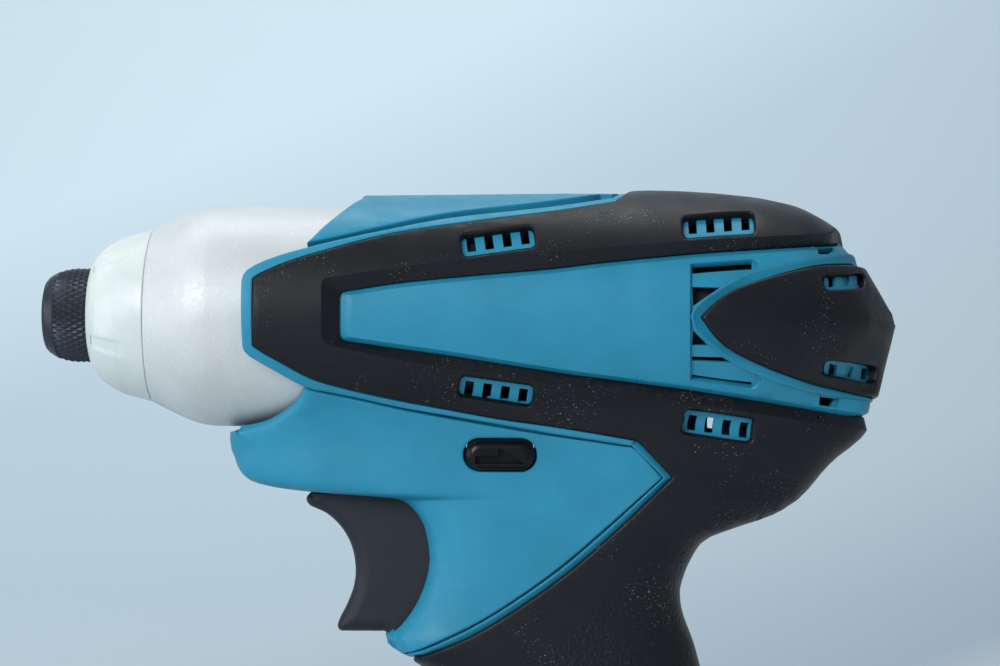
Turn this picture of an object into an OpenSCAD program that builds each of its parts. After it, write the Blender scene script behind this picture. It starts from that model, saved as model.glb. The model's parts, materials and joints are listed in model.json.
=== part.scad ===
// Cordless impact driver drawn as separate parts that fit and move together.
// Lengths are in millimetres and angles are in degrees.
// The parts are drawn about the spindle axis, which is X, with the anvil tip at X zero.
// The finished part is shifted so that the middle of the battery's base face is the origin.

/* [Overall] */
// Height of the spindle axis above the surface the tool stands on
axis_h = 155; // [152:1:165]
// Height of the battery foot
foot_h = 30; // [29:0.5:32]
// Length of the battery foot
foot_len = 74; // [72:1:84]
// Width of the battery foot
foot_w = 54; // [52:1:60]
// Lean of the grip towards the rear
grip_tilt = 12; // [11:0.5:13]

/* [Bit holder] */
// Size across the flats of the bit socket
hex_af = 6.45; // [6.35:0.05:6.55]
// Depth of the bit socket
hex_depth = 21; // [19:0.5:22]
// Radius of the anvil in front of its journal
anvil_r = 6; // [5.8:0.1:6.2]
// Radius of the knurled sleeve
sleeve_r = 8.6; // [8.4:0.1:8.8]
// Length of the knurled sleeve
sleeve_len = 13.7; // [13.2:0.1:14.4]
// Depth of the spring chamber in the sleeve
sleeve_chamber = 7.4; // [7:0.1:7.8]
// Length of the anvil tip in front of the sleeve
tip_proud = 1.7; // [1.5:0.1:2]
// Radius of a ball that holds the bit
bit_ball_r = 1.6; // [1.5:0.05:1.65]
// Radius of the wire of the sleeve spring
sleeve_wire_r = 0.35; // [0.3:0.05:0.4]

/* [Hammer case] */
// Radius of the hammer case
case_r = 20.1; // [19.9:0.1:20.8]
// Wall of the hammer case
case_wall = 2.4; // [2.3:0.1:2.6]
// Radius of the case's nose under the bumper
nose_r = 12.4; // [12:0.1:12.8]
// Length of the nose that the bumper grips
nose_seat = 4.2; // [3.8:0.1:4.8]
// Radius of the bumper at its rear edge
bumper_r = 15.8; // [15.4:0.1:16.4]
// How far the bumper reaches over the sleeve
bumper_lip = 7; // [6.4:0.1:7.6]
// Length of the bush that carries the anvil
bush_len = 10.2; // [9.8:0.1:11]
// Wall of the bush that carries the anvil
bush_wall = 1.7; // [1.5:0.1:1.9]
// Length of bare case between the bumper and the housing
case_show = 17.9; // [16.5:0.1:19]

/* [Impact mechanism] */
// Radius of the anvil's journal
journal_r = 7.5; // [7.3:0.1:7.8]
// Thickness of the anvil's wings
wing_t = 6; // [5.6:0.1:6.4]
// Radius that the anvil's wings reach
wing_r = 15; // [14.6:0.1:15.6]
// Thickness of the washer behind the bush
thrust_t = 0.5; // [0.4:0.05:0.7]
// Length of the hammer
hammer_len = 21; // [20.4:0.1:21.6]
// How far the hammer can draw back
hammer_back = 8; // [7.4:0.1:8.6]
// Length of the lugs on the hammer's face
lug_len = 5.4; // [5:0.1:5.6]
// Radius of the spindle under the hammer
spindle_r = 8; // [7.8:0.1:8.2]
// Radius of a ball between the spindle and the hammer
cam_ball_r = 2.2; // [2:0.05:2.3]
// Radius of the wire of the hammer spring
hammer_wire_r = 1.3; // [1.1:0.05:1.4]
// Thickness of the washer behind the hammer spring
spring_washer_t = 1; // [0.8:0.1:1.2]

/* [Gears] */
// Module of the gear teeth
gear_module = 0.6; // [0.58:0.005:0.61]
// Width of the planet gears
planet_w = 7.2; // [6.8:0.1:7.6]
// Thickness of the carrier's front flange
flange_t = 3; // [2.6:0.1:3.4]
// Thickness of the carrier's rear flange
rear_flange_t = 2.5; // [2.2:0.1:2.8]
// Radius of the planet pins
pin_r = 2; // [1.8:0.05:2.2]
// Width of the spindle bearing
bearing_w = 5; // [4.6:0.1:5.4]
// Radius of the balls in the spindle bearing
bearing_ball_r = 1.4; // [1.3:0.05:1.45]
// Thickness of the bearing box's flange
box_flange_t = 4; // [3.6:0.1:4.4]
// Length of the bearing box behind the hammer case
box_len = 10; // [9.6:0.1:10.6]

/* [Motor] */
// Radius of the motor can
motor_r = 17.5; // [17:0.1:18]
// Length of the motor can
motor_len = 47.5; // [46:0.5:49]
// Wall of the motor can
can_wall = 1.3; // [1.1:0.1:1.5]
// Radius of the motor shaft
shaft_r = 1.6; // [1.5:0.05:1.7]
// Thickness of the motor's end bell
bell_t = 3; // [2.6:0.1:3.4]
// Thickness of the motor's magnets
magnet_t = 2.4; // [2.2:0.1:2.6]
// Running gap between the armature and the magnets
air_gap = 0.8; // [0.6:0.1:1]

/* [Housing] */
// Wall of the housing over the hammer case
barrel_wall = 1.9; // [1.7:0.1:2.2]
// Wall of the housing over the motor
motor_wall = 2.3; // [2.1:0.1:2.6]
// Thickness of the soft grip skin
skin_t = 1.2; // [1:0.1:1.4]
// How far the tail pads stand out of the skin
pad_proud = 0.4; // [0.3:0.05:0.6]
// Space behind the motor inside the tail
tail_len = 15.3; // [14.6:0.1:16]
// Wall of the grip around the battery
grip_wall = 2.6; // [2.4:0.1:3]
// Half the width of the body above the grip
body_half_w = 14.6; // [14.2:0.1:15.2]
// Thickness of the ribs that hold the motor
rib_t = 2; // [1.6:0.1:2.4]
// Radius of the housing screws
screw_r = 1.5; // [1.3:0.05:1.6]
// Radius of the housing screws' heads
screw_head_r = 2.8; // [2.6:0.1:3]
// Size of a small vent hole along the head
vent_hole_l = 1.7; // [1.5:0.1:1.9]
// Size of a small vent hole across the head
vent_hole_h = 2; // [1.8:0.1:2.2]
// Distance between small vent holes
vent_pitch = 3; // [2.8:0.1:3.1]
// Height of the window around a row of vent holes
vent_window_h = 4.8; // [4.6:0.1:5.2]
// Length of the window around a row of vent holes
vent_window_l = 13; // [12.6:0.1:13.6]

/* [Trigger and switch] */
// Width of the trigger
trigger_w = 14; // [13:0.2:15]
// Travel of the trigger
trigger_pull = 6; // [5:0.2:6.4]
// Length of the switch
switch_len = 25; // [23:0.5:26]
// Height of the switch
switch_h = 24; // [22:0.5:25]
// Width of the switch
switch_w = 19; // [17:0.5:20]
// Radius of the switch plunger
plunger_r = 2.6; // [2.4:0.1:2.8]
// Length of the reversing lever's end
lever_l = 12.4; // [11.6:0.1:13]
// Height of the reversing lever's end
lever_h = 5.4; // [5:0.1:5.6]
// How far the reversing lever stands out of each side
lever_proud = 2.2; // [1.8:0.1:2.6]
// Travel of the reversing lever to each side
lever_throw = 2.4; // [2:0.1:2.8]
// Radius of the work light's lens
lens_r = 3; // [2.8:0.1:3.2]

/* [Battery] */
// Radius of a battery cell
cell_r = 9.2; // [9:0.05:9.3]
// Length of a battery cell
cell_len = 65; // [64:0.5:65.5]
// Wall of the battery's tower
tower_wall = 1.5; // [1.3:0.1:1.7]
// Wall of the battery's foot
foot_wall = 2; // [1.8:0.1:2.2]
// Thickness of the battery's base plate
base_t = 1.6; // [1.4:0.1:1.8]
// Length of a release button
button_l = 24; // [22:0.5:26]
// Height of a release button
button_h = 10; // [9:0.2:10.6]
// How far a release button stands out
button_proud = 0.9; // [0.7:0.1:1.1]
// Travel of a release button
button_push = 2.5; // [2:0.1:2.8]
// Thickness of the terminal block
block_t = 3.8; // [3.4:0.1:4]
// Thickness of a terminal blade
blade_t = 0.8; // [0.6:0.1:0.9]

/* [Fits] */
// Radial gap of a running fit
run_fit = 0.05; // [0.03:0.01:0.08]
// Gap of a part that is fixed in its seat
seat_fit = 0.02; // [0.01:0.005:0.03]
// Gap around a part that slides
slide_gap = 0.3; // [0.25:0.01:0.4]
// How far a cut runs past the face it cuts
overrun = 6; // [5:0.5:8]

/* [Hidden] */
$fn = 64;

// Counts
sun_teeth = 8;
planet_teeth = 22;
ring_teeth = 52;
planet_count = 3;
bearing_balls = 9;
loft_sides = 36;
loft_power = 3;
wire_sides = 6;
rings_per_turn = 12;

// Angles
seam_turn = 25;
pressure_angle = 30;
wing_half_angle = 25;
lug_half_angle = 21;
magnet_half_angle = 62;

// Shares of the gear module
addendum_share = 0.8;
dedendum_share = 1.05;
backlash_share = 0.07;

// Stations along the spindle axis, from the anvil tip
sleeve_end = tip_proud + sleeve_len;
nose_x = sleeve_end + slide_gap;
bumper_x = nose_x - bumper_lip;
bumper_end = nose_x + nose_seat;
wall_x = nose_x + bush_len;
wing_x = wall_x + thrust_t + run_fit;
hammer_x = wing_x + wing_t + slide_gap;
hammer_end = hammer_x + hammer_len;
carrier_x = hammer_end + hammer_back + spring_washer_t + slide_gap;
window_x = carrier_x + flange_t;
rear_flange_x = window_x + planet_w + 2 * slide_gap;
carrier_end = rear_flange_x + rear_flange_t;
ring_end = rear_flange_x + slide_gap;
case_end = ring_end + slide_gap;
bearing_x = carrier_end + slide_gap;
box_end = case_end + box_len;
motor_x = box_end + seat_fit;
motor_end = motor_x + motor_len;
bell_end = motor_end + bell_t;
hub_end = bearing_x + bearing_w;

// Radii that follow from the driving sizes
case_bore_r = case_r - case_wall;
barrel_r = case_r + seat_fit + barrel_wall;
bush_r = journal_r + run_fit + bush_wall;
sleeve_bore_r = anvil_r + run_fit;
chamber_r = (sleeve_bore_r + sleeve_r) / 2;
hammer_r = case_bore_r - 2 * slide_gap;
pilot_r = spindle_r / 2;
planet_orbit_r = gear_module * (sun_teeth + planet_teeth) / 2;
ring_tip_r = gear_module * (ring_teeth / 2 - addendum_share);
carrier_r = ring_tip_r - 1.5 * slide_gap;
sun_tip_r = gear_module * (sun_teeth / 2 + addendum_share);
hub_bore_r = sun_tip_r + 2 * slide_gap;
hub_r = spindle_r;
post_r = pin_r * 0.75;
post_orbit_r = carrier_r - post_r - slide_gap;
race_mid_r = hub_r + 2 * bearing_ball_r;
race_gap = bearing_ball_r * 0.55;
bearing_r = race_mid_r + 2 * bearing_ball_r;
box_boss_r = case_bore_r - can_wall;
motor_inner_r = motor_r - can_wall;
magnet_r = motor_inner_r - magnet_t;
armature_r = magnet_r - air_gap;
boss_r = 4 * shaft_r;
commutator_r = 3.4 * shaft_r;

// Head of the housing
housing_x = bumper_end + case_show;
bell_boss_end = bell_end + 2 * shaft_r;
tail_x = bell_boss_end + tail_len;
head_len = tail_x - housing_x;
grip_h = axis_h - foot_h - barrel_r - slide_gap;
grip_end_z = -barrel_r - grip_h;
rib_depth = case_r - motor_r;

// Points of the head as shares of its length and radius, and of the grip's height below it
function head_spot(p) = [housing_x + p[0] * head_len, p[1] * barrel_r];
function grip_spot(p) = [housing_x + p[0] * head_len, -barrel_r - p[1] * grip_h];

// Shares of head length and barrel radius along the barrel's outline
barrel_shares = [[0, 1], [0.58, 1], [0.641, 0.993], [0.707, 0.973], [0.802, 0.905], [0.866, 0.8],
    [0.913, 0.674], [0.93, 0.593], [0.951, 0.43], [0.985, 0.24], [1, 0.1]];
tail_share = 0.94;
function barrel_points(grow) = concat([[0, housing_x]],
    [for (p = barrel_shares) [p[1] * barrel_r + grow,
        housing_x + p[0] * head_len + (p[0] > tail_share ? grow : 0)]],
    [[0, tail_x + grow]]);
motor_seat_r = motor_r + seat_fit;
motor_seat_end = bell_end + slide_gap;
bell_share = (motor_seat_end - housing_x) / head_len;
bell_step_r = min([for (p = barrel_shares) if (p[0] < bell_share) p[1]]) * barrel_r - 2 * motor_wall;
function bore_points() = concat([[0, box_end], [barrel_r - motor_wall, box_end]],
    [for (p = barrel_shares) if (p[0] > 0.57 && p[0] < bell_share)
        [max(p[1] * barrel_r - motor_wall, motor_seat_r), housing_x + p[0] * head_len]],
    [[motor_seat_r, motor_seat_end], [bell_step_r, motor_seat_end]],
    [for (p = barrel_shares) if (p[0] > bell_share && p[0] < tail_share)
        [p[1] * barrel_r - motor_wall, housing_x + p[0] * head_len]],
    [[0, housing_x + tail_share * head_len]]);

// Front edge of the hard housing on the barrel, seen from the side
front_shares = [[0.181, 1.3], [0.181, 1.02], [0.16, 0.964], [0.089, 0.538], [0.026, 0.421], [0, 0.317],
    [0, -0.235], [0.026, -0.339], [0.089, -0.548], [0.12, -0.66], [0.12, -1.3], [1.2, -1.3], [1.2, 1.3]];

// Edge of the grip skin, seen from the side: over the top, round the panel and down the grip
skin_top_shares = [[0.014, -0.226], [0.014, 0.276], [0.089, 0.466], [0.157, 0.57], [0.269, 0.706],
    [0.39, 0.814], [0.54, 0.914], [0.568, 0.986], [0.606, 1.2], [1.08, 1.2], [1.08, 0.585], [0.899, 0.57],
    [0.677, 0.489], [0.345, 0.294], [0.15, 0.181], [0.15, -0.158], [0.39, -0.353], [0.677, -0.575],
    [0.941, -0.747], [1.08, -0.77]];
skin_grip_shares = [[1.08, 1.01], [0.15, 1.01], [0.15, 0.392], [0.276, 0.372], [0.314, 0.359],
    [0.42, 0.291], [0.542, 0.179], [0.643, 0.062]];
skin_low_shares = [[0.586, -0.982], [0.465, -0.887], [0.315, -0.765], [0.164, -0.588], [0.074, -0.448]];
function skin_outline() = concat([for (p = skin_top_shares) head_spot(p)],
    [for (p = skin_grip_shares) grip_spot(p)], [for (p = skin_low_shares) head_spot(p)]);

// Edge of a tail pad, seen from the side
pad_shares = [[0.695, -0.023], [0.781, 0.24], [0.917, 0.421], [0.965, 0.448], [1.08, 0.448],
    [1.08, -0.633], [0.97, -0.633], [0.947, -0.629], [0.842, -0.511], [0.752, -0.271]];

// Windows of small vents: shares of head length and barrel radius, tilt, number of holes
vent_shares = [[0.386, 0.584, 8, 4], [0.384, -0.61, -10, 4], [0.726, 0.729, -1, 4], [0.725, -0.869, 0, 4]];
pad_vent_shares = [[0.911, 0.267, 4, 3], [0.915, -0.448, -6, 3]];

// Long vents in the side panel: first and last share of length, lower and upper share of radius
louvre_shares = [[0.677, 0.77, 0.339, 0.394], [0.679, 0.717, 0.072, 0.222], [0.679, 0.7, -0.244, -0.109],
    [0.679, 0.736, -0.371, -0.321], [0.677, 0.77, -0.566, -0.471]];

// Level cuts of the body below the barrel: height share, front and rear share of length, width share
head_level_shares = [[-0.136, 0.12, 0.985, 0.55], [-0.498, 0.053, 0.975, 0.84], [-0.77, 0, 0.961, 0.98],
    [-0.882, -0.017, 0.948, 1]];
body_level_shares = [[0.042, -0.004, 0.9, 0.99], [0.072, 0.023, 0.87, 0.975], [0.088, 0.105, 0.855, 0.97],
    [0.101, 0.23, 0.837, 0.965], [0.14, 0.269, 0.788, 0.96], [0.166, 0.278, 0.727, 0.955],
    [0.211, 0.279, 0.679, 0.95], [0.256, 0.271, 0.664, 0.945], [0.3, 0.247, 0.665, 0.94],
    [0.339, 0.22, 0.674, 0.94], [0.368, 0.247, 0.683, 0.935]];
grip_level_shares = [[0.402, 1], [0.563, 1.005], [0.757, 1.01], [0.903, 1.02], [0.961, 1.05], [1, 1.1]];
grip_top_share = [0.479, 0.368];

// Grip and battery
grip_x = grip_spot(grip_top_share)[0];
grip_z = grip_spot(grip_top_share)[1];
function grip_axis_x(z) = grip_x + (grip_z - z) * tan(grip_tilt);
tower_r = cell_r + seat_fit + tower_wall;
cell_offset = cell_r + seat_fit;
tower_half = cell_offset + tower_r;
well_r = tower_r + slide_gap;
well_half = tower_half + slide_gap;
grip_half_w = well_r + grip_wall;
grip_half_l = (well_half + grip_wall) / cos(grip_tilt);
foot_top_z = -axis_h + foot_h;
foot_lead_share = 0.588;
foot_x = grip_axis_x(foot_top_z) - foot_lead_share * foot_len;
foot_mid_x = foot_x + foot_len / 2;
foot_corner_r = foot_w / 5;
split_z = -axis_h + foot_h * 0.4;
tower_top = -block_t - 2 * slide_gap;
cell_top = tower_top - tower_wall - seat_fit;
low_cell_z = -axis_h + base_t + seat_fit + cell_r;
button_z = foot_top_z - foot_wall - button_h / 2 - 4 * slide_gap;
button_lip = 2 * slide_gap + foot_wall / 2;
button_flange_t = foot_wall * 0.6;
button_rib_y = cell_r + 2 * foot_wall;
board_share = 0.69;

// Trigger, switch and lever
trigger_shares = [[0.09, 0.096], [0.11, 0.124], [0.139, 0.15], [0.155, 0.178], [0.166, 0.229],
    [0.164, 0.265], [0.149, 0.309], [0.141, 0.335], [0.215, 0.34], [0.3, 0.34], [0.305, 0.107], [0.22, 0.1]];
trigger_top_share = 0.096;
trigger_foot_share = 0.34;
trigger_rear_share = 0.305;
trigger_mid_share = 0.2;
plunger_z = grip_spot([0, trigger_mid_share])[1];
trigger_rear_x = grip_spot([trigger_rear_share, 0])[0];
switch_x = trigger_rear_x + trigger_pull + slide_gap;
switch_top_share = 0.084;
switch_z = grip_spot([0, switch_top_share])[1];
lever_shares = [0.392, 0.022];
lever_x = grip_spot(lever_shares)[0];
lever_z = grip_spot(lever_shares)[1];
lever_half = body_half_w + lever_proud;
lens_shares = [-0.012, 0.028];
lens_x = grip_spot(lens_shares)[0];
lens_z = grip_spot(lens_shares)[1];
lens_len = 1.6 * lens_r;

// Screw positions: on the body below the barrel and in the tail
body_screw_shares = [[0.11, 0.04], [0.235, 0.03], [0.68, 0.08], [0.82, 0.035]];
tail_screw_shares = [[0.92, 0.07], [0.925, -0.24]];
function screw_spots() = concat([for (p = body_screw_shares) grip_spot(p)],
    [for (p = tail_screw_shares) head_spot(p)]);

// Profiles of the nose, as shares of length and of the step in radius
bumper_shares = [[0, 0], [0.03, 0.12], [0.1, 0.3], [0.19, 0.46], [0.33, 0.62], [0.5, 0.77], [0.74, 0.89],
    [1, 1]];
shoulder_len_share = 1.53;
shoulder_shares = [[0, 0], [0.2, 0.28], [0.43, 0.54], [0.7, 0.8], [0.88, 0.94], [1, 1]];
sleeve_shares = [[0, 0], [0.45, 0.65], [1, 1]];

// Moves the drawing from the spindle axis to the part's own origin
module place() {
    translate([-foot_mid_x, 0, axis_h]) children();
}

// Turns a shape that stands on Z so that it lies along the spindle axis
module along_x() {
    rotate([seam_turn, 0, 0]) rotate([0, 90, 0]) children();
}

// Cylinder along the spindle axis between two stations
module rod(x0, x1, r) {
    translate([x0, 0, 0]) along_x() cylinder(h = x1 - x0, r = r);
}

// Tube along the spindle axis between two stations
module pipe(x0, x1, r_in, r_out) {
    difference() {
        rod(x0, x1, r_out);
        rod(x0 - overrun, x1 + overrun, r_in);
    }
}

// Body of revolution about the spindle axis from points of radius and station
module turned(points) {
    along_x() rotate_extrude() polygon(points);
}

// Prism across the tool from an outline seen from the side
module side_prism(points, y0, y1) {
    translate([0, y1, 0]) rotate([90, 0, 0]) linear_extrude(height = y1 - y0) polygon(points);
}

// Box between two corners
module span(a, b) {
    translate(a) cube(b - a);
}

// Wedge about the spindle axis, used to cut wings and lugs
module wedge(x0, x1, reach, middle, half_angle) {
    rotate([middle, 0, 0]) translate([x0, 0, 0]) rotate([0, 90, 0]) linear_extrude(height = x1 - x0)
        polygon([[0, 0], [-reach, reach * tan(half_angle)], [-reach, -reach * tan(half_angle)]]);
}

// Oblong plate with round ends, standing on Z
module stadium(half_l, r, h) {
    linear_extrude(height = h) union() {
        translate([half_l - r, 0]) circle(r);
        translate([r - half_l, 0]) circle(r);
        square([2 * (half_l - r), 2 * r], center = true);
    }
}

// Everything on one side of the parting plane
module half(side) {
    reach = 2 * axis_h;
    intersection() {
        children();
        translate([-reach, side < 0 ? -reach : 0, -reach]) cube([3 * reach, reach, 2 * reach]);
    }
}

// Coil of wire that stands on Z from zero to its length
module coil(mean_r, wire_r, length, turns) {
    steps = turns * rings_per_turn;
    points = [for (i = [0:steps]) for (j = [0:wire_sides - 1])
        let (a = 360 * turns * i / steps, b = 360 * j / wire_sides,
            r = mean_r + wire_r * cos(b), z = wire_r + (length - 2 * wire_r) * i / steps + wire_r * sin(b))
        [r * cos(a), r * sin(a), z]];
    sides = [for (i = [0:steps - 1]) for (j = [0:wire_sides - 1])
        let (k = (j + 1) % wire_sides, p = i * wire_sides, q = p + wire_sides)
        each [[p + j, q + j, q + k], [p + j, q + k, p + k]]];
    first_cap = [for (j = [1:wire_sides - 2]) [0, j, j + 1]];
    last = steps * wire_sides;
    last_cap = [for (j = [1:wire_sides - 2]) [last, last + j + 1, last + j]];
    polyhedron(points, concat(sides, first_cap, last_cap), convexity = 6);
}

// Polar angle of a tooth flank at a radius
function involute(a) = tan(a) * 180 / PI - a;
function flank_angle(teeth, m, r, slack) =
    let (pitch_r = m * teeth / 2, base_r = pitch_r * cos(pressure_angle))
    90 / teeth - slack / pitch_r * 180 / PI + involute(pressure_angle) -
    (r > base_r ? involute(acos(base_r / r)) : 0);

// Outline of a spur gear
function gear_points(teeth, m, top, bottom, slack) =
    let (pitch_r = m * teeth / 2, tip_r = pitch_r + top * m, root_r = pitch_r - bottom * m)
    [for (i = [0:teeth - 1]) for (s = [-1, 1]) for (k = [0:3])
        let (j = s < 0 ? k : 3 - k, r = root_r + (tip_r - root_r) * j / 3,
            a = 360 * i / teeth + s * flank_angle(teeth, m, r, slack))
        [r * cos(a), r * sin(a)]];

// Spur gear that stands on Z
module gear(teeth, height, top, bottom, slack) {
    linear_extrude(height = height) polygon(gear_points(teeth, gear_module, top, bottom, slack));
}

// Turn of a planet gear that puts it in mesh with the pinion
function planet_place(i) = 360 * i / planet_count;
function planet_turn(i) = let (a = planet_place(i), part = a * sun_teeth / 360)
    a + 180 + (part - floor(part) + 0.5) * 360 / planet_teeth;

// Barrel of the head, grown by a skin thickness
module barrel(grow) {
    turned(barrel_points(grow));
}

// Level cut of the body: a rounded oblong between a front and a rear station
function level_ring(x0, x1, w, z) = [for (i = [0:loft_sides - 1])
    let (t = 360 * (i + 0.5) / loft_sides, c = cos(t), s = sin(t), e = 2 / loft_power)
    [(x0 + x1) / 2 + (x1 - x0) / 2 * sign(c) * pow(abs(c), e), w * sign(s) * pow(abs(s), e), z]];
function level_rings(grow) = concat(
    [for (p = head_level_shares) let (a = head_spot([p[1], p[0]]), b = head_spot([p[2], p[0]]))
        level_ring(a[0] - grow, b[0] + grow, p[3] * body_half_w + grow, a[1])],
    [for (p = body_level_shares) let (a = grip_spot([p[1], p[0]]), b = grip_spot([p[2], p[0]]))
        level_ring(a[0] - grow, b[0] + grow, p[3] * body_half_w + grow, a[1])],
    [for (p = grip_level_shares) let (z = grip_spot([0, p[0]])[1], x = grip_axis_x(z))
        level_ring(x - p[1] * grip_half_l - grow, x + p[1] * grip_half_l + grow,
            p[1] * grip_half_w + grow, z)]);

// Body below the barrel, from the work light's nose to the end of the grip
module lower_body(grow) {
    rings = level_rings(grow);
    count = len(rings);
    sides = [for (i = [0:count - 2]) for (j = [0:loft_sides - 1])
        let (k = (j + 1) % loft_sides, p = i * loft_sides, q = p + loft_sides)
        each [[p + j, p + k, q + k], [p + j, q + k, q + j]]];
    first_cap = [[for (j = [loft_sides - 1:-1:0]) j]];
    last_cap = [[for (j = [0:loft_sides - 1]) (count - 1) * loft_sides + j]];
    polyhedron([for (r = rings) for (p = r) p], concat(sides, first_cap, last_cap), convexity = 6);
}

// Places a shape at the top of the battery well, with the grip's axis along Z
module grip_frame() {
    translate([grip_x, 0, grip_z]) rotate([0, -grip_tilt, 0]) children();
}

// Window over a row of small vents, with its middle at the origin of the side view
module vent_window(l, h, y0, y1) {
    translate([0, y1, 0]) rotate([90, 0, 0]) stadium(l / 2, h / 2, y1 - y0);
}

// Places shapes at the rows of small vents on the left side
module at_vents(table) {
    for (p = table) {
        s = head_spot(p);
        translate([s[0], 0, s[1]]) rotate([0, -p[2], 0]) {
            $holes = p[3];
            children();
        }
    }
}

// Row of small vent holes
module vent_holes(y0, y1) {
    for (i = [0:$holes - 1]) {
        x = (i - ($holes - 1) / 2) * vent_pitch;
        span([x - vent_hole_l / 2, y0, -vent_hole_h / 2], [x + vent_hole_l / 2, y1, vent_hole_h / 2]);
    }
}

// Inner reach of the vent holes, and the outer face that they start from
vent_in = -box_boss_r * 0.25;
vent_out = -barrel_r - overrun;

// Barrel and lower body of the hard housing, cut to the front edge seen from the side
module hard_body() {
    reach = 2 * barrel_r;
    intersection() {
        barrel(0);
        side_prism([for (p = front_shares) head_spot(p)], -reach, reach);
    }
    lower_body(0);
}

// Spaces inside the housing that hold the gear case, the motor, the switch and the battery
module housing_spaces() {
    half_w = switch_w / 2 + seat_fit;
    slot_w = trigger_w / 2 + slide_gap;
    top = grip_spot([0, trigger_top_share])[1];
    low = grip_spot([0, trigger_foot_share])[1];
    rod(housing_x - barrel_r, case_end + box_flange_t + seat_fit, case_r + seat_fit);
    rod(case_end, motor_x + rib_t / 2, box_boss_r + seat_fit);
    difference() {
        turned(bore_points());
        pipe(motor_x + rib_t, motor_x + 2 * rib_t, motor_seat_r, barrel_r);
        pipe(motor_end - 3 * rib_t, motor_end - 2 * rib_t, motor_seat_r, barrel_r);
        for (p = tail_screw_shares) {
            s = head_spot(p);
            translate([s[0], barrel_r, s[1]]) rotate([90, 0, 0]) cylinder(h = 2 * barrel_r, r = 2 * screw_r);
        }
    }
    span([switch_x - seat_fit, -half_w, switch_z - switch_h - seat_fit],
        [switch_x + switch_len + seat_fit, half_w, switch_z + seat_fit]);
    span([housing_x, -slot_w, low - slide_gap], [switch_x + seat_fit, slot_w, top + slide_gap]);
    span([switch_x + switch_len / 2, -half_w / 2, switch_z - overrun],
        [switch_x + switch_len - rib_t, half_w / 2, -motor_r]);
    span([lever_x - lever_l / 4 - slide_gap, -half_w, switch_z - seat_fit],
        [lever_x + lever_l / 4 + slide_gap, half_w, lever_z]);
    translate([lever_x, 0, lever_z]) vent_window(lever_l + 2 * slide_gap, lever_h + 2 * slide_gap,
        -2 * lever_half, 2 * lever_half);
    translate([lens_x - overrun, 0, lens_z]) along_x()
        cylinder(h = lens_len + overrun, r = lens_r + seat_fit);
    span([lens_x + lens_len - seat_fit, -lens_r, lens_z - lens_r],
        [lens_x + lens_len + 2 * lens_r, lens_r, lens_z + lens_r]);
    grip_frame() translate([0, 0, grip_end_z]) stadium(well_half, well_r, -grip_end_z);
}

// Holes for the housing screws: a clearance hole and head seat on the right, a tight hole on the left
module screw_holes() {
    for (s = screw_spots()) translate([s[0], 0, s[1]]) {
        rotate([90, 0, 0]) cylinder(h = body_half_w * 0.6, r = screw_r + seat_fit);
        rotate([-90, 0, 0]) cylinder(h = barrel_r + overrun, r = screw_r + slide_gap);
        translate([0, body_half_w * 0.35, 0]) rotate([-90, 0, 0])
            cylinder(h = barrel_r + overrun, r = screw_head_r + slide_gap);
    }
}

// Vents of the left side, as cuts through the hard housing
module housing_vents() {
    at_vents(vent_shares) vent_holes(vent_out, vent_in);
    at_vents(pad_vent_shares) vent_holes(vent_out, vent_in);
    for (p = louvre_shares) {
        a = head_spot([p[0], p[2]]);
        b = head_spot([p[1], p[3]]);
        span([a[0], vent_out, a[1]], [b[0], -motor_inner_r * 0.75, b[1]]);
    }
}

// One half of the hard housing
module housing_half(side) {
    difference() {
        half(side) hard_body();
        housing_spaces();
        screw_holes();
        on_side(side) housing_vents();
    }
}

module housing_left() {
    color([0.05, 0.42, 0.46]) place() housing_half(-1);
}

module housing_right() {
    color([0.05, 0.42, 0.46]) place() housing_half(1);
}

// Turns shapes drawn for the left side over to the right one
module on_side(side) {
    mirror([0, side < 0 ? 0 : 1, 0]) children();
}

// Layer over one side of the hard body, cut to an edge seen from the side
module side_layer(side, outline, thickness) {
    y0 = side < 0 ? -2 * barrel_r : -overrun;
    y1 = side < 0 ? overrun : 2 * barrel_r;
    difference() {
        intersection() {
            half(side) union() {
                barrel(thickness);
                lower_body(thickness);
            }
            side_prism(outline, y0, y1);
        }
        barrel(0);
        lower_body(0);
    }
}

// Soft skin of one side
module grip_skin(side) {
    difference() {
        side_layer(side, skin_outline(), skin_t);
        on_side(side) at_vents(vent_shares)
            vent_window(vent_window_l, vent_window_h, vent_out, vent_in);
        translate([lever_x, 0, lever_z]) vent_window(lever_l + 2 * slide_gap, lever_h + 2 * slide_gap,
            -2 * lever_half, 2 * lever_half);
        rod(housing_x - barrel_r, case_end, case_r + seat_fit);
        screw_holes();
    }
}

module grip_skin_left() {
    color([0.09, 0.1, 0.11]) place() grip_skin(-1);
}

module grip_skin_right() {
    color([0.09, 0.1, 0.11]) place() grip_skin(1);
}

// Pad at the tail of one side
module tail_pad(side) {
    difference() {
        side_layer(side, [for (p = pad_shares) head_spot(p)], skin_t + pad_proud);
        on_side(side) at_vents(pad_vent_shares) vent_holes(vent_out, vent_in);
        screw_holes();
    }
}

module tail_pad_left() {
    color([0.1, 0.11, 0.12]) place() tail_pad(-1);
}

module tail_pad_right() {
    color([0.1, 0.11, 0.12]) place() tail_pad(1);
}

module housing_screws() {
    color([0.3, 0.3, 0.32]) place() for (s = screw_spots()) translate([s[0], 0, s[1]]) {
        rotate([90, 0, 0]) cylinder(h = body_half_w * 0.55, r = screw_r);
        rotate([-90, 0, 0]) cylinder(h = body_half_w * 0.35, r = screw_r);
        translate([0, body_half_w * 0.35, 0]) rotate([-90, 0, 0]) cylinder(h = screw_r, r = screw_head_r);
    }
}

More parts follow.
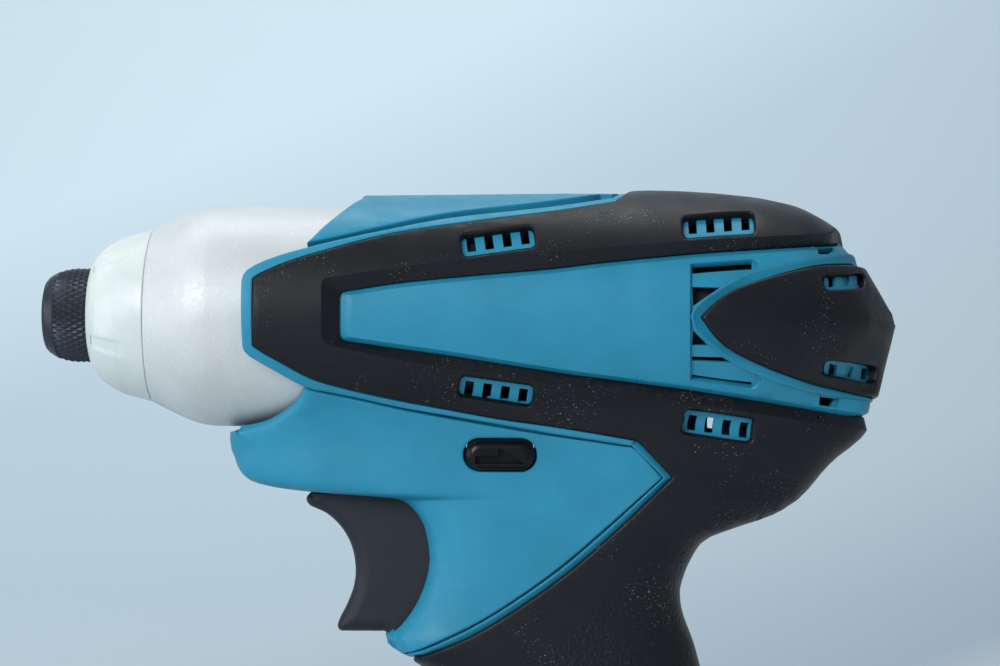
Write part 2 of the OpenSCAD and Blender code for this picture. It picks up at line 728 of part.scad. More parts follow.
// Metal case around the impact mechanism, open at the rear
module hammer_case() {
    shoulder_len = shoulder_len_share * (wall_x - bumper_end);
    color([0.72, 0.73, 0.74]) place() difference() {
        turned(concat([[0, nose_x], [nose_r, nose_x], [nose_r, bumper_end]],
            [for (p = shoulder_shares) [bumper_r + p[1] * (case_r - bumper_r),
                bumper_end + p[0] * shoulder_len]],
            [[case_r, case_end], [0, case_end]]));
        rod(nose_x - overrun, wall_x + overrun, bush_r + seat_fit);
        rod(wall_x, case_end + overrun, case_bore_r);
    }
}

// Soft bumper that grips the nose of the case
module bumper() {
    lip_r = sleeve_r + slide_gap;
    color([0.86, 0.88, 0.86]) place() difference() {
        turned(concat([[0, bumper_x]],
            [for (p = bumper_shares) [lip_r + slide_gap + p[1] * (bumper_r - lip_r - slide_gap),
                bumper_x + p[0] * (bumper_end - bumper_x)]],
            [[0, bumper_end]]));
        rod(bumper_x - overrun, nose_x + overrun, lip_r);
        rod(nose_x, bumper_end + overrun, nose_r);
    }
}

module sleeve() {
    edge_r = chamber_r + slide_gap;
    color([0.13, 0.13, 0.14]) place() difference() {
        turned(concat([[0, tip_proud]],
            [for (p = sleeve_shares) [edge_r + p[1] * (sleeve_r - edge_r),
                tip_proud + p[0] * 3 * (sleeve_r - edge_r)]],
            [[sleeve_r, sleeve_end], [0, sleeve_end]]));
        rod(tip_proud - overrun, tip_proud + sleeve_chamber, chamber_r);
        rod(tip_proud, sleeve_end + overrun, sleeve_bore_r);
    }
}

// Ring and washer at the anvil's tip, with the spring behind them
ring_t = tip_proud * 0.4;
ring_x = tip_proud - ring_t;
groove_r = anvil_r * 0.92;
washer_t = ring_t;
spring_x = tip_proud + washer_t;

module sleeve_spring() {
    mean_r = chamber_r - sleeve_wire_r - run_fit;
    color([0.55, 0.56, 0.58]) place() translate([spring_x, 0, 0]) rotate([0, 90, 0])
        coil(mean_r, sleeve_wire_r, sleeve_chamber - washer_t, 3);
}

module sleeve_washer() {
    color([0.6, 0.6, 0.62]) place() pipe(tip_proud, spring_x, anvil_r + seat_fit, chamber_r - run_fit);
}

module retaining_ring() {
    color([0.7, 0.7, 0.72]) place() pipe(ring_x, tip_proud, groove_r + seat_fit, chamber_r - slide_gap);
}

// Balls that snap into the groove of a bit
ball_x = tip_proud + sleeve_chamber + 1.6 * bit_ball_r;
ball_orbit_r = anvil_r - bit_ball_r;

module bit_balls() {
    color([0.75, 0.75, 0.78]) place() for (a = [0, 180]) rotate([a, 0, 0])
        translate([ball_x, 0, ball_orbit_r]) sphere(r = bit_ball_r);
}

module anvil() {
    hex_r = hex_af / 2 / cos(30);
    tip_r = (hex_r + anvil_r) / 2;
    tip_x = tip_proud - 2 * ring_t;
    color([0.4, 0.41, 0.43]) place() difference() {
        union() {
            turned([[0, 0], [tip_r, 0], [anvil_r, tip_x], [anvil_r, nose_x], [journal_r, nose_x],
                [journal_r, wing_x + wing_t], [0, wing_x + wing_t]]);
            for (a = [0, 180]) intersection() {
                rod(wing_x, wing_x + wing_t, wing_r);
                wedge(wing_x, wing_x + wing_t, 2 * wing_r, a + 90, wing_half_angle);
            }
        }
        translate([-overrun, 0, 0]) rotate([0, 90, 0]) rotate([0, 0, 30])
            cylinder(h = hex_depth + overrun, r = hex_r, $fn = 6);
        pipe(ring_x, tip_proud, groove_r, anvil_r + overrun);
        rod(wall_x + run_fit, wing_x + wing_t + overrun, pilot_r + run_fit);
        for (a = [0, 180]) rotate([a, 0, 0]) translate([ball_x, 0, 0])
            cylinder(h = anvil_r + overrun, r = bit_ball_r + run_fit);
    }
}

module anvil_bush() {
    color([0.7, 0.55, 0.3]) place() pipe(nose_x, wall_x, journal_r + run_fit, bush_r);
}

module thrust_washer() {
    color([0.85, 0.84, 0.8]) place() pipe(wall_x, wall_x + thrust_t, journal_r + run_fit, wing_r * 0.8);
}

// Hammer: a heavy ring with two lugs, a spring pocket and grooves for the balls
spring_floor = hammer_x + hammer_len / 2;
pocket_in_r = spindle_r * 1.2;
pocket_out_r = hammer_r - case_wall;
cam_x = hammer_x + hammer_back - cam_ball_r * 0.4;

module hammer() {
    color([0.33, 0.34, 0.36]) place() difference() {
        union() {
            rod(hammer_x, hammer_end, hammer_r);
            for (a = [0, 180]) intersection() {
                pipe(hammer_x - lug_len, hammer_x, journal_r + 4 * slide_gap, wing_r);
                wedge(hammer_x - lug_len, hammer_x, 2 * wing_r, a, lug_half_angle);
            }
        }
        rod(hammer_x - overrun, hammer_end + overrun, spindle_r + run_fit);
        pipe(spring_floor, hammer_end + overrun, pocket_in_r, pocket_out_r);
        for (a = [0, 180]) rotate([a + 90, 0, 0]) translate([hammer_x - overrun, 0, spindle_r])
            rotate([0, 90, 0]) cylinder(h = cam_x - hammer_x + overrun + 1.2 * cam_ball_r,
                r = cam_ball_r + run_fit);
    }
}

module hammer_spring() {
    mean_r = (pocket_in_r + pocket_out_r) / 2;
    color([0.5, 0.5, 0.53]) place() translate([spring_floor, 0, 0]) rotate([0, 90, 0])
        coil(mean_r, hammer_wire_r, carrier_x - spring_washer_t - spring_floor, 3.5);
}

module spring_washer() {
    color([0.6, 0.6, 0.62]) place()
        pipe(carrier_x - spring_washer_t, carrier_x, spindle_r + seat_fit, carrier_r);
}

module cam_balls() {
    color([0.75, 0.75, 0.78]) place() for (a = [0, 180]) rotate([a + 90, 0, 0])
        translate([cam_x, 0, spindle_r]) sphere(r = cam_ball_r);
}

// Spindle with the carrier of the planet gears
module spindle() {
    color([0.45, 0.46, 0.48]) place() difference() {
        union() {
            rod(wall_x + 2 * slide_gap, hammer_x, pilot_r);
            rod(hammer_x, window_x, spindle_r);
            rod(carrier_x, window_x, carrier_r);
            rod(rear_flange_x, carrier_end, carrier_r);
            rod(rear_flange_x, hub_end, hub_r);
            for (i = [0:planet_count - 1]) rotate([planet_place(i) + 60, 0, 0])
                translate([carrier_x, 0, post_orbit_r]) rotate([0, 90, 0])
                    cylinder(h = carrier_end - carrier_x, r = post_r);
        }
        rod(window_x - slide_gap, hub_end + overrun, hub_bore_r);
        for (i = [0:planet_count - 1]) rotate([planet_place(i), 0, 0])
            translate([window_x - flange_t / 2, 0, planet_orbit_r]) rotate([0, 90, 0])
                cylinder(h = carrier_end - window_x + overrun, r = pin_r);
        for (a = [0, 180]) rotate([a + 90, 0, 0]) translate([cam_x, 0, spindle_r])
            sphere(r = cam_ball_r + seat_fit);
    }
}

module planet_pins() {
    color([0.7, 0.7, 0.73]) place() for (i = [0:planet_count - 1]) rotate([planet_place(i), 0, 0])
        translate([window_x - flange_t / 2, 0, planet_orbit_r]) rotate([0, 90, 0])
            cylinder(h = carrier_end - window_x + flange_t / 2, r = pin_r);
}

// Planet gear, turned so that its teeth mesh with the pinion and the ring
module planet(i) {
    color([0.5, 0.5, 0.52]) place() rotate([planet_place(i), 0, 0])
        translate([window_x + slide_gap, 0, planet_orbit_r]) rotate([0, 90, 0])
            rotate([0, 0, planet_turn(i) - planet_place(i) + 180]) difference() {
                gear(planet_teeth, planet_w, addendum_share, dedendum_share, backlash_share * gear_module);
                translate([0, 0, -overrun]) cylinder(h = planet_w + 2 * overrun, r = pin_r + run_fit);
            }
}

module planet_gear_1() {
    planet(0);
}

module planet_gear_2() {
    planet(1);
}

module planet_gear_3() {
    planet(2);
}

module ring_gear() {
    color([0.42, 0.43, 0.45]) place() difference() {
        rod(window_x, ring_end, case_bore_r - seat_fit);
        translate([window_x - overrun, 0, 0]) rotate([0, 90, 0]) rotate([0, 0, 180 + 180 / ring_teeth])
            gear(ring_teeth, ring_end - window_x + 2 * overrun, dedendum_share, addendum_share,
                -backlash_share * gear_module);
    }
}

module bearing_box() {
    color([0.2, 0.21, 0.22]) place() difference() {
        union() {
            rod(case_end, case_end + box_flange_t, case_r);
            rod(ring_end, case_end, case_bore_r - seat_fit);
            rod(case_end + box_flange_t, box_end, box_boss_r);
        }
        rod(ring_end - overrun, bearing_x, carrier_r + slide_gap);
        rod(bearing_x, bearing_x + bearing_w, bearing_r + seat_fit);
        rod(bearing_x, box_end + overrun, boss_r + seat_fit);
    }
}

// Ball groove of the bearing's races
module ball_track() {
    translate([bearing_x + bearing_w / 2, 0, 0]) along_x() rotate_extrude()
        translate([race_mid_r, 0]) circle(bearing_ball_r + run_fit);
}

module bearing_inner_race() {
    color([0.72, 0.72, 0.75]) place() difference() {
        pipe(bearing_x, bearing_x + bearing_w, hub_r + seat_fit, race_mid_r - race_gap);
        ball_track();
    }
}

module bearing_outer_race() {
    color([0.72, 0.72, 0.75]) place() difference() {
        pipe(bearing_x, bearing_x + bearing_w, race_mid_r + race_gap, bearing_r);
        ball_track();
    }
}

module bearing_balls_set() {
    color([0.8, 0.8, 0.82]) place() for (i = [0:bearing_balls - 1]) rotate([360 * i / bearing_balls, 0, 0])
        translate([bearing_x + bearing_w / 2, 0, race_mid_r]) sphere(r = bearing_ball_r);
}

// Motor can, closed at the front by a plate with a boss for the front bush
module motor_can() {
    color([0.6, 0.6, 0.6]) place() difference() {
        union() {
            rod(motor_x, motor_end, motor_r);
            rod(box_end - box_flange_t / 2, motor_x, boss_r);
        }
        rod(motor_x + can_wall, motor_end + overrun, motor_inner_r);
        rod(box_end - overrun, motor_x + overrun, 2 * shaft_r);
    }
}

fan_x = motor_x + 2 * can_wall;
fan_t = motor_len * 0.1;
core_x = motor_x + motor_len * 0.24;
core_end = motor_x + motor_len * 0.68;
winding_x = core_x - motor_len * 0.05;
winding_end = core_end + motor_len * 0.05;
commutator_x = winding_end;
commutator_end = motor_end - bell_t - slide_gap;

module motor_magnets() {
    color([0.25, 0.25, 0.27]) place() for (a = [0, 180]) intersection() {
        pipe(core_x, core_end, magnet_r, motor_inner_r);
        rotate([a, 0, 0]) span([core_x, -motor_r, motor_r * cos(magnet_half_angle)],
            [core_end, motor_r, motor_r]);
    }
}

module motor_end_bell() {
    reach = 1.5 * boss_r;
    color([0.16, 0.16, 0.17]) place() difference() {
        union() {
            rod(motor_end, bell_end, motor_inner_r);
            rod(motor_end - bell_t, motor_end, motor_inner_r - seat_fit);
            rod(bell_end, bell_boss_end, boss_r);
            for (a = [0, 180]) rotate([a, 0, 0]) span([commutator_x + 2 * slide_gap, -2 * shaft_r,
                commutator_r + 2 * slide_gap], [motor_end - bell_t / 2, 2 * shaft_r, reach]);
        }
        rod(motor_end - bell_t - overrun, bell_boss_end - shaft_r, 2 * shaft_r);
        for (a = [0, 180]) rotate([a, 0, 0]) span([commutator_x, -shaft_r - seat_fit, 0],
            [commutator_end - slide_gap, shaft_r + seat_fit, reach + overrun]);
    }
}

module motor_bushes() {
    color([0.7, 0.55, 0.3]) place() {
        pipe(box_end - box_flange_t / 2, motor_x + can_wall, shaft_r + run_fit, 2 * shaft_r);
        pipe(bell_end - bell_t, bell_boss_end - shaft_r, shaft_r + run_fit, 2 * shaft_r);
    }
}

module carbon_brushes() {
    color([0.12, 0.12, 0.12]) place() for (a = [0, 180]) rotate([a, 0, 0])
        span([commutator_x + 2 * slide_gap, -shaft_r, commutator_r + run_fit],
            [commutator_end - slide_gap, shaft_r, 1.5 * boss_r]);
}

module armature_shaft() {
    color([0.7, 0.7, 0.73]) place() rod(bearing_x, bell_boss_end - shaft_r - slide_gap, shaft_r);
}

// Stack of armature plates with slots for the windings
module armature_core() {
    slots = 8;
    color([0.5, 0.5, 0.52]) place() difference() {
        rod(core_x, core_end, armature_r);
        rod(core_x - overrun, core_end + overrun, shaft_r);
        for (i = [0:slots - 1]) rotate([360 * i / slots, 0, 0])
            span([core_x - overrun, -shaft_r / 2, armature_r / 2],
                [core_end + overrun, shaft_r / 2, 2 * armature_r]);
    }
}

module armature_windings() {
    wind_r = armature_r * 0.85;
    color([0.62, 0.33, 0.14]) place() {
        pipe(winding_x, core_x, 1.5 * shaft_r, wind_r);
        pipe(core_end, winding_end, 1.5 * shaft_r, wind_r);
    }
}

module commutator() {
    color([0.75, 0.48, 0.25]) place() pipe(commutator_x, commutator_end, shaft_r, commutator_r);
}

module motor_fan() {
    blades = 9;
    color([0.2, 0.2, 0.21]) place() difference() {
        union() {
            rod(fan_x, fan_x + fan_t / 4, armature_r);
            rod(fan_x, fan_x + fan_t, 2 * shaft_r);
            for (i = [0:blades - 1]) rotate([360 * i / blades, 0, 0])
                span([fan_x + fan_t / 8, -shaft_r / 4, 1.5 * shaft_r],
                    [fan_x + fan_t, shaft_r / 4, armature_r * 0.95]);
        }
        rod(fan_x - overrun, fan_x + fan_t + overrun, shaft_r);
    }
}

module pinion() {
    color([0.66, 0.66, 0.68]) place() difference() {
        union() {
            translate([window_x + slide_gap, 0, 0]) rotate([0, 90, 0]) rotate([0, 0, 180])
                gear(sun_teeth, bearing_x - window_x, addendum_share, dedendum_share,
                    backlash_share * gear_module);
            rod(bearing_x, hub_end + run_fit, sun_tip_r + slide_gap / 2);
        }
        rod(bearing_x, hub_end + overrun, shaft_r);
    }
}

module switch_body() {
    bore = plunger_r + run_fit;
    color([0.14, 0.14, 0.15]) place() difference() {
        span([switch_x, -switch_w / 2, switch_z - switch_h], [switch_x + switch_len, switch_w / 2, switch_z]);
        translate([switch_x - overrun, 0, plunger_z]) rotate([0, 90, 0])
            cylinder(h = switch_len * 0.6 + overrun, r = bore);
        span([lever_x - lever_l / 4 - slide_gap, -switch_w, switch_z - rib_t - slide_gap],
            [lever_x + lever_l / 4 + slide_gap, switch_w, switch_z + overrun]);
    }
}

// Rod that carries the trigger's push into the switch
spring_seat_x = trigger_rear_x - 2 * plunger_r;

module switch_plunger() {
    color([0.75, 0.74, 0.7]) place() translate([spring_seat_x, 0, plunger_z]) rotate([0, 90, 0])
        cylinder(h = switch_x - spring_seat_x + switch_len * 0.25, r = plunger_r);
}

module trigger() {
    color([0.07, 0.07, 0.08]) place() difference() {
        side_prism([for (p = trigger_shares) grip_spot(p)], -trigger_w / 2, trigger_w / 2);
        translate([spring_seat_x, 0, plunger_z]) rotate([0, 90, 0])
            cylinder(h = 2 * plunger_r + overrun, r = 1.9 * plunger_r);
    }
}

module trigger_spring() {
    color([0.6, 0.6, 0.62]) place() translate([spring_seat_x, 0, plunger_z]) rotate([0, 90, 0])
        coil(1.45 * plunger_r, plunger_r * 0.14, switch_x - spring_seat_x, 5);
}

// Lever that slides across the tool; its ends stand out of both sides
module reversing_lever() {
    color([0.06, 0.06, 0.07]) place() {
        translate([lever_x, 0, lever_z]) vent_window(lever_l, lever_h, -lever_half, lever_half);
        span([lever_x - lever_l / 4, -switch_w / 2 + lever_throw + slide_gap, switch_z - rib_t],
            [lever_x + lever_l / 4, switch_w / 2 - lever_throw - slide_gap, lever_z]);
    }
}

module work_light_lens() {
    color([0.9, 0.92, 0.95]) place() translate([lens_x, 0, lens_z]) rotate([0, 90, 0])
        cylinder(h = lens_len, r = lens_r);
}

module work_light_board() {
    board_t = lens_r / 2;
    color([0.08, 0.3, 0.14]) place() span([lens_x + lens_len, -lens_r + seat_fit, lens_z - lens_r + seat_fit],
        [lens_x + lens_len + board_t, lens_r - seat_fit, lens_z + lens_r - seat_fit]);
}

// Terminals at the top of the battery well
blade_l = 2 * tower_wall + 2 * block_t;
blade_w = 4 * blade_t;
blade_y = cell_r * 0.88;

module terminal_block() {
    color([0.18, 0.18, 0.19]) place() grip_frame() difference() {
        translate([0, 0, -block_t]) stadium(well_half * 0.7, well_r - seat_fit, block_t);
        for (s = [-1, 1])
            span([-blade_w / 2 - seat_fit, s * blade_y - blade_t / 2 - seat_fit, -block_t - overrun],
            [blade_w / 2 + seat_fit, s * blade_y + blade_t / 2 + seat_fit, -block_t / 3]);
    }
}

module terminal_blades() {
    color([0.75, 0.6, 0.35]) place() grip_frame() for (s = [-1, 1])
        span([-blade_w / 2, s * blade_y - blade_t / 2, -block_t - blade_l],
            [blade_w / 2, s * blade_y + blade_t / 2, -block_t / 3]);
}

// Outline of the battery foot, grown or shrunk by a wall
module foot_block(shrink, z0, z1) {
    r = foot_corner_r - shrink;
    l = foot_len / 2 - foot_corner_r;
    w = foot_w / 2 - foot_corner_r;
    translate([foot_mid_x, 0, z0]) linear_extrude(height = z1 - z0) union() {
        for (a = [-1, 1]) for (b = [-1, 1]) translate([a * l, b * w]) circle(r);
        square([2 * (l + r), 2 * w], center = true);
        square([2 * l, 2 * (w + r)], center = true);
    }
}

// Opening for a release button in one side of the foot
module button_cut(side) {
    l = button_l / 2 + slide_gap;
    h = button_h / 2 + slide_gap;
    translate([foot_mid_x, side * foot_w / 2, button_z])
        span([-l, -2 * foot_wall, -h], [l, 2 * foot_wall, h]);
}

module battery_case() {
    tower_foot = grip_end_z - grip_z - tower_half;
    slot_w = blade_w / 2 + slide_gap;
    slot_t = blade_t / 2 + slide_gap;
    color([0.1, 0.11, 0.12]) place() {
        difference() {
            union() {
                foot_block(0, split_z, foot_top_z);
                grip_frame() translate([0, 0, tower_foot])
                    stadium(tower_half, tower_r, tower_top - tower_foot);
            }
            foot_block(foot_wall, -2 * axis_h, foot_top_z - foot_wall);
            grip_frame() translate([0, 0, -axis_h])
                stadium(tower_half - tower_wall, tower_r - tower_wall, axis_h + tower_top - tower_wall);
            grip_frame() for (s = [-1, 1])
                span([-slot_w, s * blade_y - slot_t, -axis_h], [slot_w, s * blade_y + slot_t, overrun]);
            button_cut(-1);
            button_cut(1);
        }
        for (s = battery_screw_spots()) translate([s[0], s[1], -axis_h + base_t]) difference() {
            cylinder(h = foot_h - base_t - foot_wall / 2, r = screw_head_r);
            translate([0, 0, -overrun]) cylinder(h = foot_h / 4 + overrun, r = screw_r + seat_fit);
        }
    }
}

// Lower half of the foot with the ribs behind the release buttons
module battery_base() {
    rib_l = button_l / 3;
    color([0.13, 0.14, 0.15]) place() {
        difference() {
            foot_block(0, -axis_h, split_z);
            foot_block(foot_wall, -axis_h + base_t, split_z + overrun);
            for (s = battery_screw_spots()) translate([s[0], s[1], -axis_h - overrun]) {
                cylinder(h = 2 * overrun + base_t, r = screw_r + slide_gap);
                cylinder(h = overrun + base_t * 0.6, r = screw_head_r + slide_gap);
            }
        }
        for (s = [-1, 1]) translate([foot_mid_x, s * button_rib_y, 0])
            span([-rib_l, -foot_wall / 2, -axis_h + base_t / 2],
                [rib_l, foot_wall / 2, button_z + button_h / 2]);
    }
}

function battery_screw_spots() = [for (a = [-1, 1]) for (b = [-1, 1])
    [foot_mid_x + a * (foot_len / 2 - foot_corner_r), b * (foot_w / 2 - foot_corner_r)]];

module battery_screws() {
    color([0.3, 0.3, 0.32]) place() for (s = battery_screw_spots()) translate([s[0], s[1], -axis_h]) {
        translate([0, 0, base_t * 0.1]) cylinder(h = base_t * 0.5, r = screw_head_r);
        translate([0, 0, base_t * 0.1]) cylinder(h = foot_h / 4, r = screw_r);
    }
}

module battery_cells() {
    color([0.2, 0.35, 0.6]) place() {
        grip_frame() for (s = [-1, 1]) translate([s * cell_offset, 0, cell_top - cell_len])
            cylinder(h = cell_len, r = cell_r);
        translate([foot_mid_x - cell_len / 2, 0, low_cell_z]) rotate([0, 90, 0])
            cylinder(h = cell_len, r = cell_r);
    }
}

// Spring clips that take the terminal blades
module battery_contacts() {
    clip_w = blade_w + 2 * slide_gap;
    clip_t = blade_t / 2;
    gap = blade_t / 2 + run_fit;
    color([0.75, 0.6, 0.35]) place() grip_frame() for (s = [-1, 1]) for (t = [-1, 1])
        translate([0, s * blade_y + t * (gap + clip_t / 2), 0])
            span([-clip_w / 2, -clip_t / 2, tower_top - tower_wall - 1.5 * blade_l],
                [clip_w / 2, clip_t / 2, tower_top - tower_wall]);
}

module battery_board() {
    y0 = button_rib_y + foot_wall;
    y1 = y0 + board_share * (foot_w / 2 - foot_wall - y0);
    color([0.08, 0.3, 0.14]) place() span([foot_mid_x - foot_len / 4, y0, -axis_h + base_t],
        [foot_mid_x + foot_len / 4, y1, -axis_h + 2 * base_t]);
}

// Release button: a pad with a lip behind the foot's wall
module battery_button(side) {
    l = button_l / 2;
    h = button_h / 2;
    inner = foot_w / 2 - foot_wall;
    color([0.2, 0.21, 0.23]) place() translate([foot_mid_x, 0, button_z]) mirror([0, side < 0 ? 1 : 0, 0]) {
        span([-l, inner - button_flange_t - slide_gap, -h], [l, foot_w / 2 + button_proud, h]);
        span([-l - button_lip, inner - button_flange_t - run_fit, -h], [l + button_lip, inner - run_fit, h]);
    }
}

module battery_button_left() {
    battery_button(-1);
}

module battery_button_right() {
    battery_button(1);
}

module battery_button_springs() {
    y0 = button_rib_y + foot_wall / 2;
    y1 = foot_w / 2 - foot_wall - button_flange_t - slide_gap;
    color([0.6, 0.6, 0.62]) place() for (s = [-1, 1]) translate([foot_mid_x, s * y0, button_z])
        rotate([-s * 90, 0, 0]) coil(button_h / 4, button_h / 24, y1 - y0, 4);
}

housing_left();
housing_right();
grip_skin_left();
grip_skin_right();
tail_pad_left();
tail_pad_right();
housing_screws();
hammer_case();
bumper();
sleeve();
sleeve_spring();
sleeve_washer();
retaining_ring();
bit_balls();
anvil();
anvil_bush();
thrust_washer();
hammer();
hammer_spring();
spring_washer();
cam_balls();
spindle();
planet_pins();
planet_gear_1();
planet_gear_2();
planet_gear_3();
ring_gear();
bearing_box();
bearing_inner_race();
bearing_outer_race();
bearing_balls_set();
motor_can();
motor_magnets();
motor_end_bell();
motor_bushes();
carbon_brushes();
armature_shaft();
armature_core();
armature_windings();
commutator();
motor_fan();
pinion();
switch_body();
switch_plunger();
trigger();
trigger_spring();
reversing_lever();
work_light_lens();
work_light_board();
terminal_block();
terminal_blades();
battery_case();
battery_base();
battery_cells();
battery_contacts();
battery_board();
battery_button_left();
battery_button_right();
battery_button_springs();
battery_screws();
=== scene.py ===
"""Looks of a cordless impact driver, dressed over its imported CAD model."""
import json
import math

import bmesh
import bpy
import numpy as np
from mathutils import Matrix, Vector


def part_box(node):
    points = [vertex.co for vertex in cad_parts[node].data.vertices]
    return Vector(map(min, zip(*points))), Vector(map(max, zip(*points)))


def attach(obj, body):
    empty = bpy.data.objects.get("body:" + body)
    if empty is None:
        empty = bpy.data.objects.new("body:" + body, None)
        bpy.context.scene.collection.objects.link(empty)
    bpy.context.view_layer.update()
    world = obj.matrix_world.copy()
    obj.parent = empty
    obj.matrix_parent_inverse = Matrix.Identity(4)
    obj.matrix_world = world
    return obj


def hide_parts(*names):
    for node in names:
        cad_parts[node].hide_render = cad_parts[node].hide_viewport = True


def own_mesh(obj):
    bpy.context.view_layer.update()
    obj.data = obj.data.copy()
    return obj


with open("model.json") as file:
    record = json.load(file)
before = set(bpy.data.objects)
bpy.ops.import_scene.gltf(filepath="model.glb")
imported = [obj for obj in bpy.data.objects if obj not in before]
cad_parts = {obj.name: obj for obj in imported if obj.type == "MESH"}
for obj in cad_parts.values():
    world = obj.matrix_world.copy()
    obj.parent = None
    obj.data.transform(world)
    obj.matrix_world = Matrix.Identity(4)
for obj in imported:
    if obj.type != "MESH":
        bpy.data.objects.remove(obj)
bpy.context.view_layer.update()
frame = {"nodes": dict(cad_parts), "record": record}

# ---------------------------------------------------------------- the tool's own frame
# Shapes are worked out in millimetres from the anvil's tip, with X along the spindle to the rear
# and Y across the tool. The left side, at negative Y, faces the camera.
MM = 0.001
TIP_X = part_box("anvil")[0].x
AXIS_Z = (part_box("sleeve")[0].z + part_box("sleeve")[1].z) / 2


def to_row(points):
    """Points in the tool's frame as points in the part's frame, in metres."""
    return np.asarray(points, float) * MM + np.array([TIP_X, 0, AXIS_Z])


# ---------------------------------------------------------------- camera
FRAME_W, FRAME_H = 1000, 666
VIEW_MM_PER_PX = 0.1832
VIEW_DISTANCE = 400
VIEW_X, VIEW_Z = 83.0, -2.8
VIEW_ROLL = math.radians(0.34)
SENSOR = 36


def add_camera():
    camera = bpy.data.objects.new("camera", bpy.data.cameras.new("camera"))
    bpy.context.scene.collection.objects.link(camera)
    camera.data.sensor_width = SENSOR
    camera.data.lens = SENSOR * VIEW_DISTANCE / (VIEW_MM_PER_PX * FRAME_W)
    camera.data.clip_start = 0.01
    camera.location = to_row([[VIEW_X, -VIEW_DISTANCE, VIEW_Z]])[0]
    camera.matrix_world = (Matrix.Translation(camera.location) @ Matrix.Rotation(math.pi / 2, 4, "X")
                           @ Matrix.Rotation(VIEW_ROLL, 4, "Z"))
    bpy.context.scene.camera = camera


# ---------------------------------------------------------------- smooth surface of the body
HEAD_X, BARREL_R = 37.8, 22.02
GRIP_X, GRIP_Z, GRIP_TILT = 93.206, -59.806, math.radians(12)
GRIP_HALF_L, GRIP_HALF_W = 23.35, 13.62
FILLET = 5.0
# Steps in which a ray is narrowed down, and tries to hit a pixel
RAY_HALVINGS, SIGHT_HALVINGS, SIGHT_TRIES = 34, 20, 5
BARREL_LEAD, LOWER_TOP_Z = 0.6, -3.0

# Radius of the barrel along the tool
BARREL_LINE = [(-20, 22.02), (104.9, 22.02), (110, 22.2), (115.8, 22.1), (122, 21.75), (129.7, 21.0), (136.7, 19.55),
               (141.4, 17.15), (144, 15.4), (145.6, 13.9), (147.7, 11.7), (149.5, 8.7), (151.7, 5.3), (153.47, 2.2),
               (158.5, -8.8)]

# Front, rear and half width of the body below the barrel, by height
FRONT_LINE = [(24, 51.7), (-3, 51.7), (-11, 43.9), (-17, 36.9), (-20.3, 35.1), (-22.7, 35.05), (-23.9, 35.35),
              (-25.3, 35.55), (-26.1, 35.65), (-26.8, 35.9), (-27.5, 36.2), (-28.3, 36.85), (-29, 37.6),
              (-29.6, 38.8), (-30.1, 40.7), (-30.5, 43.4), (-30.9, 46.5), (-31.2, 51), (-31.5, 57),
              (-31.95, 64.2), (-33.2, 66.65), (-35.05, 68.55), (-37.3, 69.8), (-40.4, 70.55), (-43.6, 70.8),
              (-46, 70.45), (-48.3, 69.75), (-50, 69.0), (-51.6, 68.15), (-53.1, 67.15), (-54.6, 65.95),
              (-55.8, 64.75), (-57, 63.4), (-57.9, 62.9), (-58.7, 63.2), (-59.5, 64.2),
              (-60.3, 65.6), (-61.1, 67.3), (-61.9, 69.2)]
REAR_LINE = [(24, 151.7), (-3, 151.7), (-11, 151), (-14.5, 150.9), (-16.5, 150.8), (-17.8, 150.2), (-19.1, 149.0),
             (-20.4, 148.5), (-21.7, 147.1), (-24.2, 143.5), (-26.8, 141.0), (-30.6, 138.1), (-33.2, 134.9),
             (-34.5, 132.4), (-35.8, 128.9), (-37.1, 124.2), (-38.3, 120.7), (-39.6, 119.0), (-40.9, 118.2),
             (-42.2, 117.4), (-44.8, 116.1), (-48.6, 114.9), (-51.2, 115.0), (-53.7, 115.5), (-56.3, 116.5),
             (-58.9, 117.6)]
HALF_LINE = [(24, 0.3), (-3, 8), (-11, 12.3), (-17, 14.3), (-20.3, 14.6), (-26.3, 14.5), (-32.4, 14.1), (-42, 13.9),
             (-52.8, 13.7), (-59.8, 13.65)]
# Height, growth and swell for the palm at the rear of the handle
GRIP_LINE = [(-63.3, 1, 1.5), (-68, 1, 1.6), (-75, 1.003, 1.2), (-85, 1.006, 0.5), (-99.7, 1.01, 0),
             (-114.7, 1.02, 0), (-120.7, 1.05, 0), (-124.7, 1.1, 0), (-132, 1.15, 0)]
# Squareness of the level slices by height, at their front and rear halves
FRONT_SQUARE = [(-75, 2.7), (-56, 3.6), (-48, 4.4), (-36, 5.2), (-34.5, 5.2), (-30.6, 3.8)]
REAR_SQUARE = [(-75, 2.7), (-50, 3.8)]
# How far the corners of these lines are rounded
BARREL_SOFT, LEVEL_SOFT = 1.2, (0.25, 0.9, 2.0)


def softened(grid, values, sigma):
    """A sampled curve with its corners rounded by a bell-shaped average."""
    step = grid[1] - grid[0]
    count = int(3 * sigma / step)
    reach = np.arange(-count, count + 1) * step
    bell = np.exp(-0.5 * (reach / sigma) ** 2)
    padded = np.pad(values, len(reach) // 2, mode="edge")
    return np.convolve(padded, bell / bell.sum(), mode="valid")


def barrel_table():
    grid = np.arange(0, 170, 0.25)
    return grid, softened(grid, np.interp(grid, *np.array(BARREL_LINE).T), BARREL_SOFT)


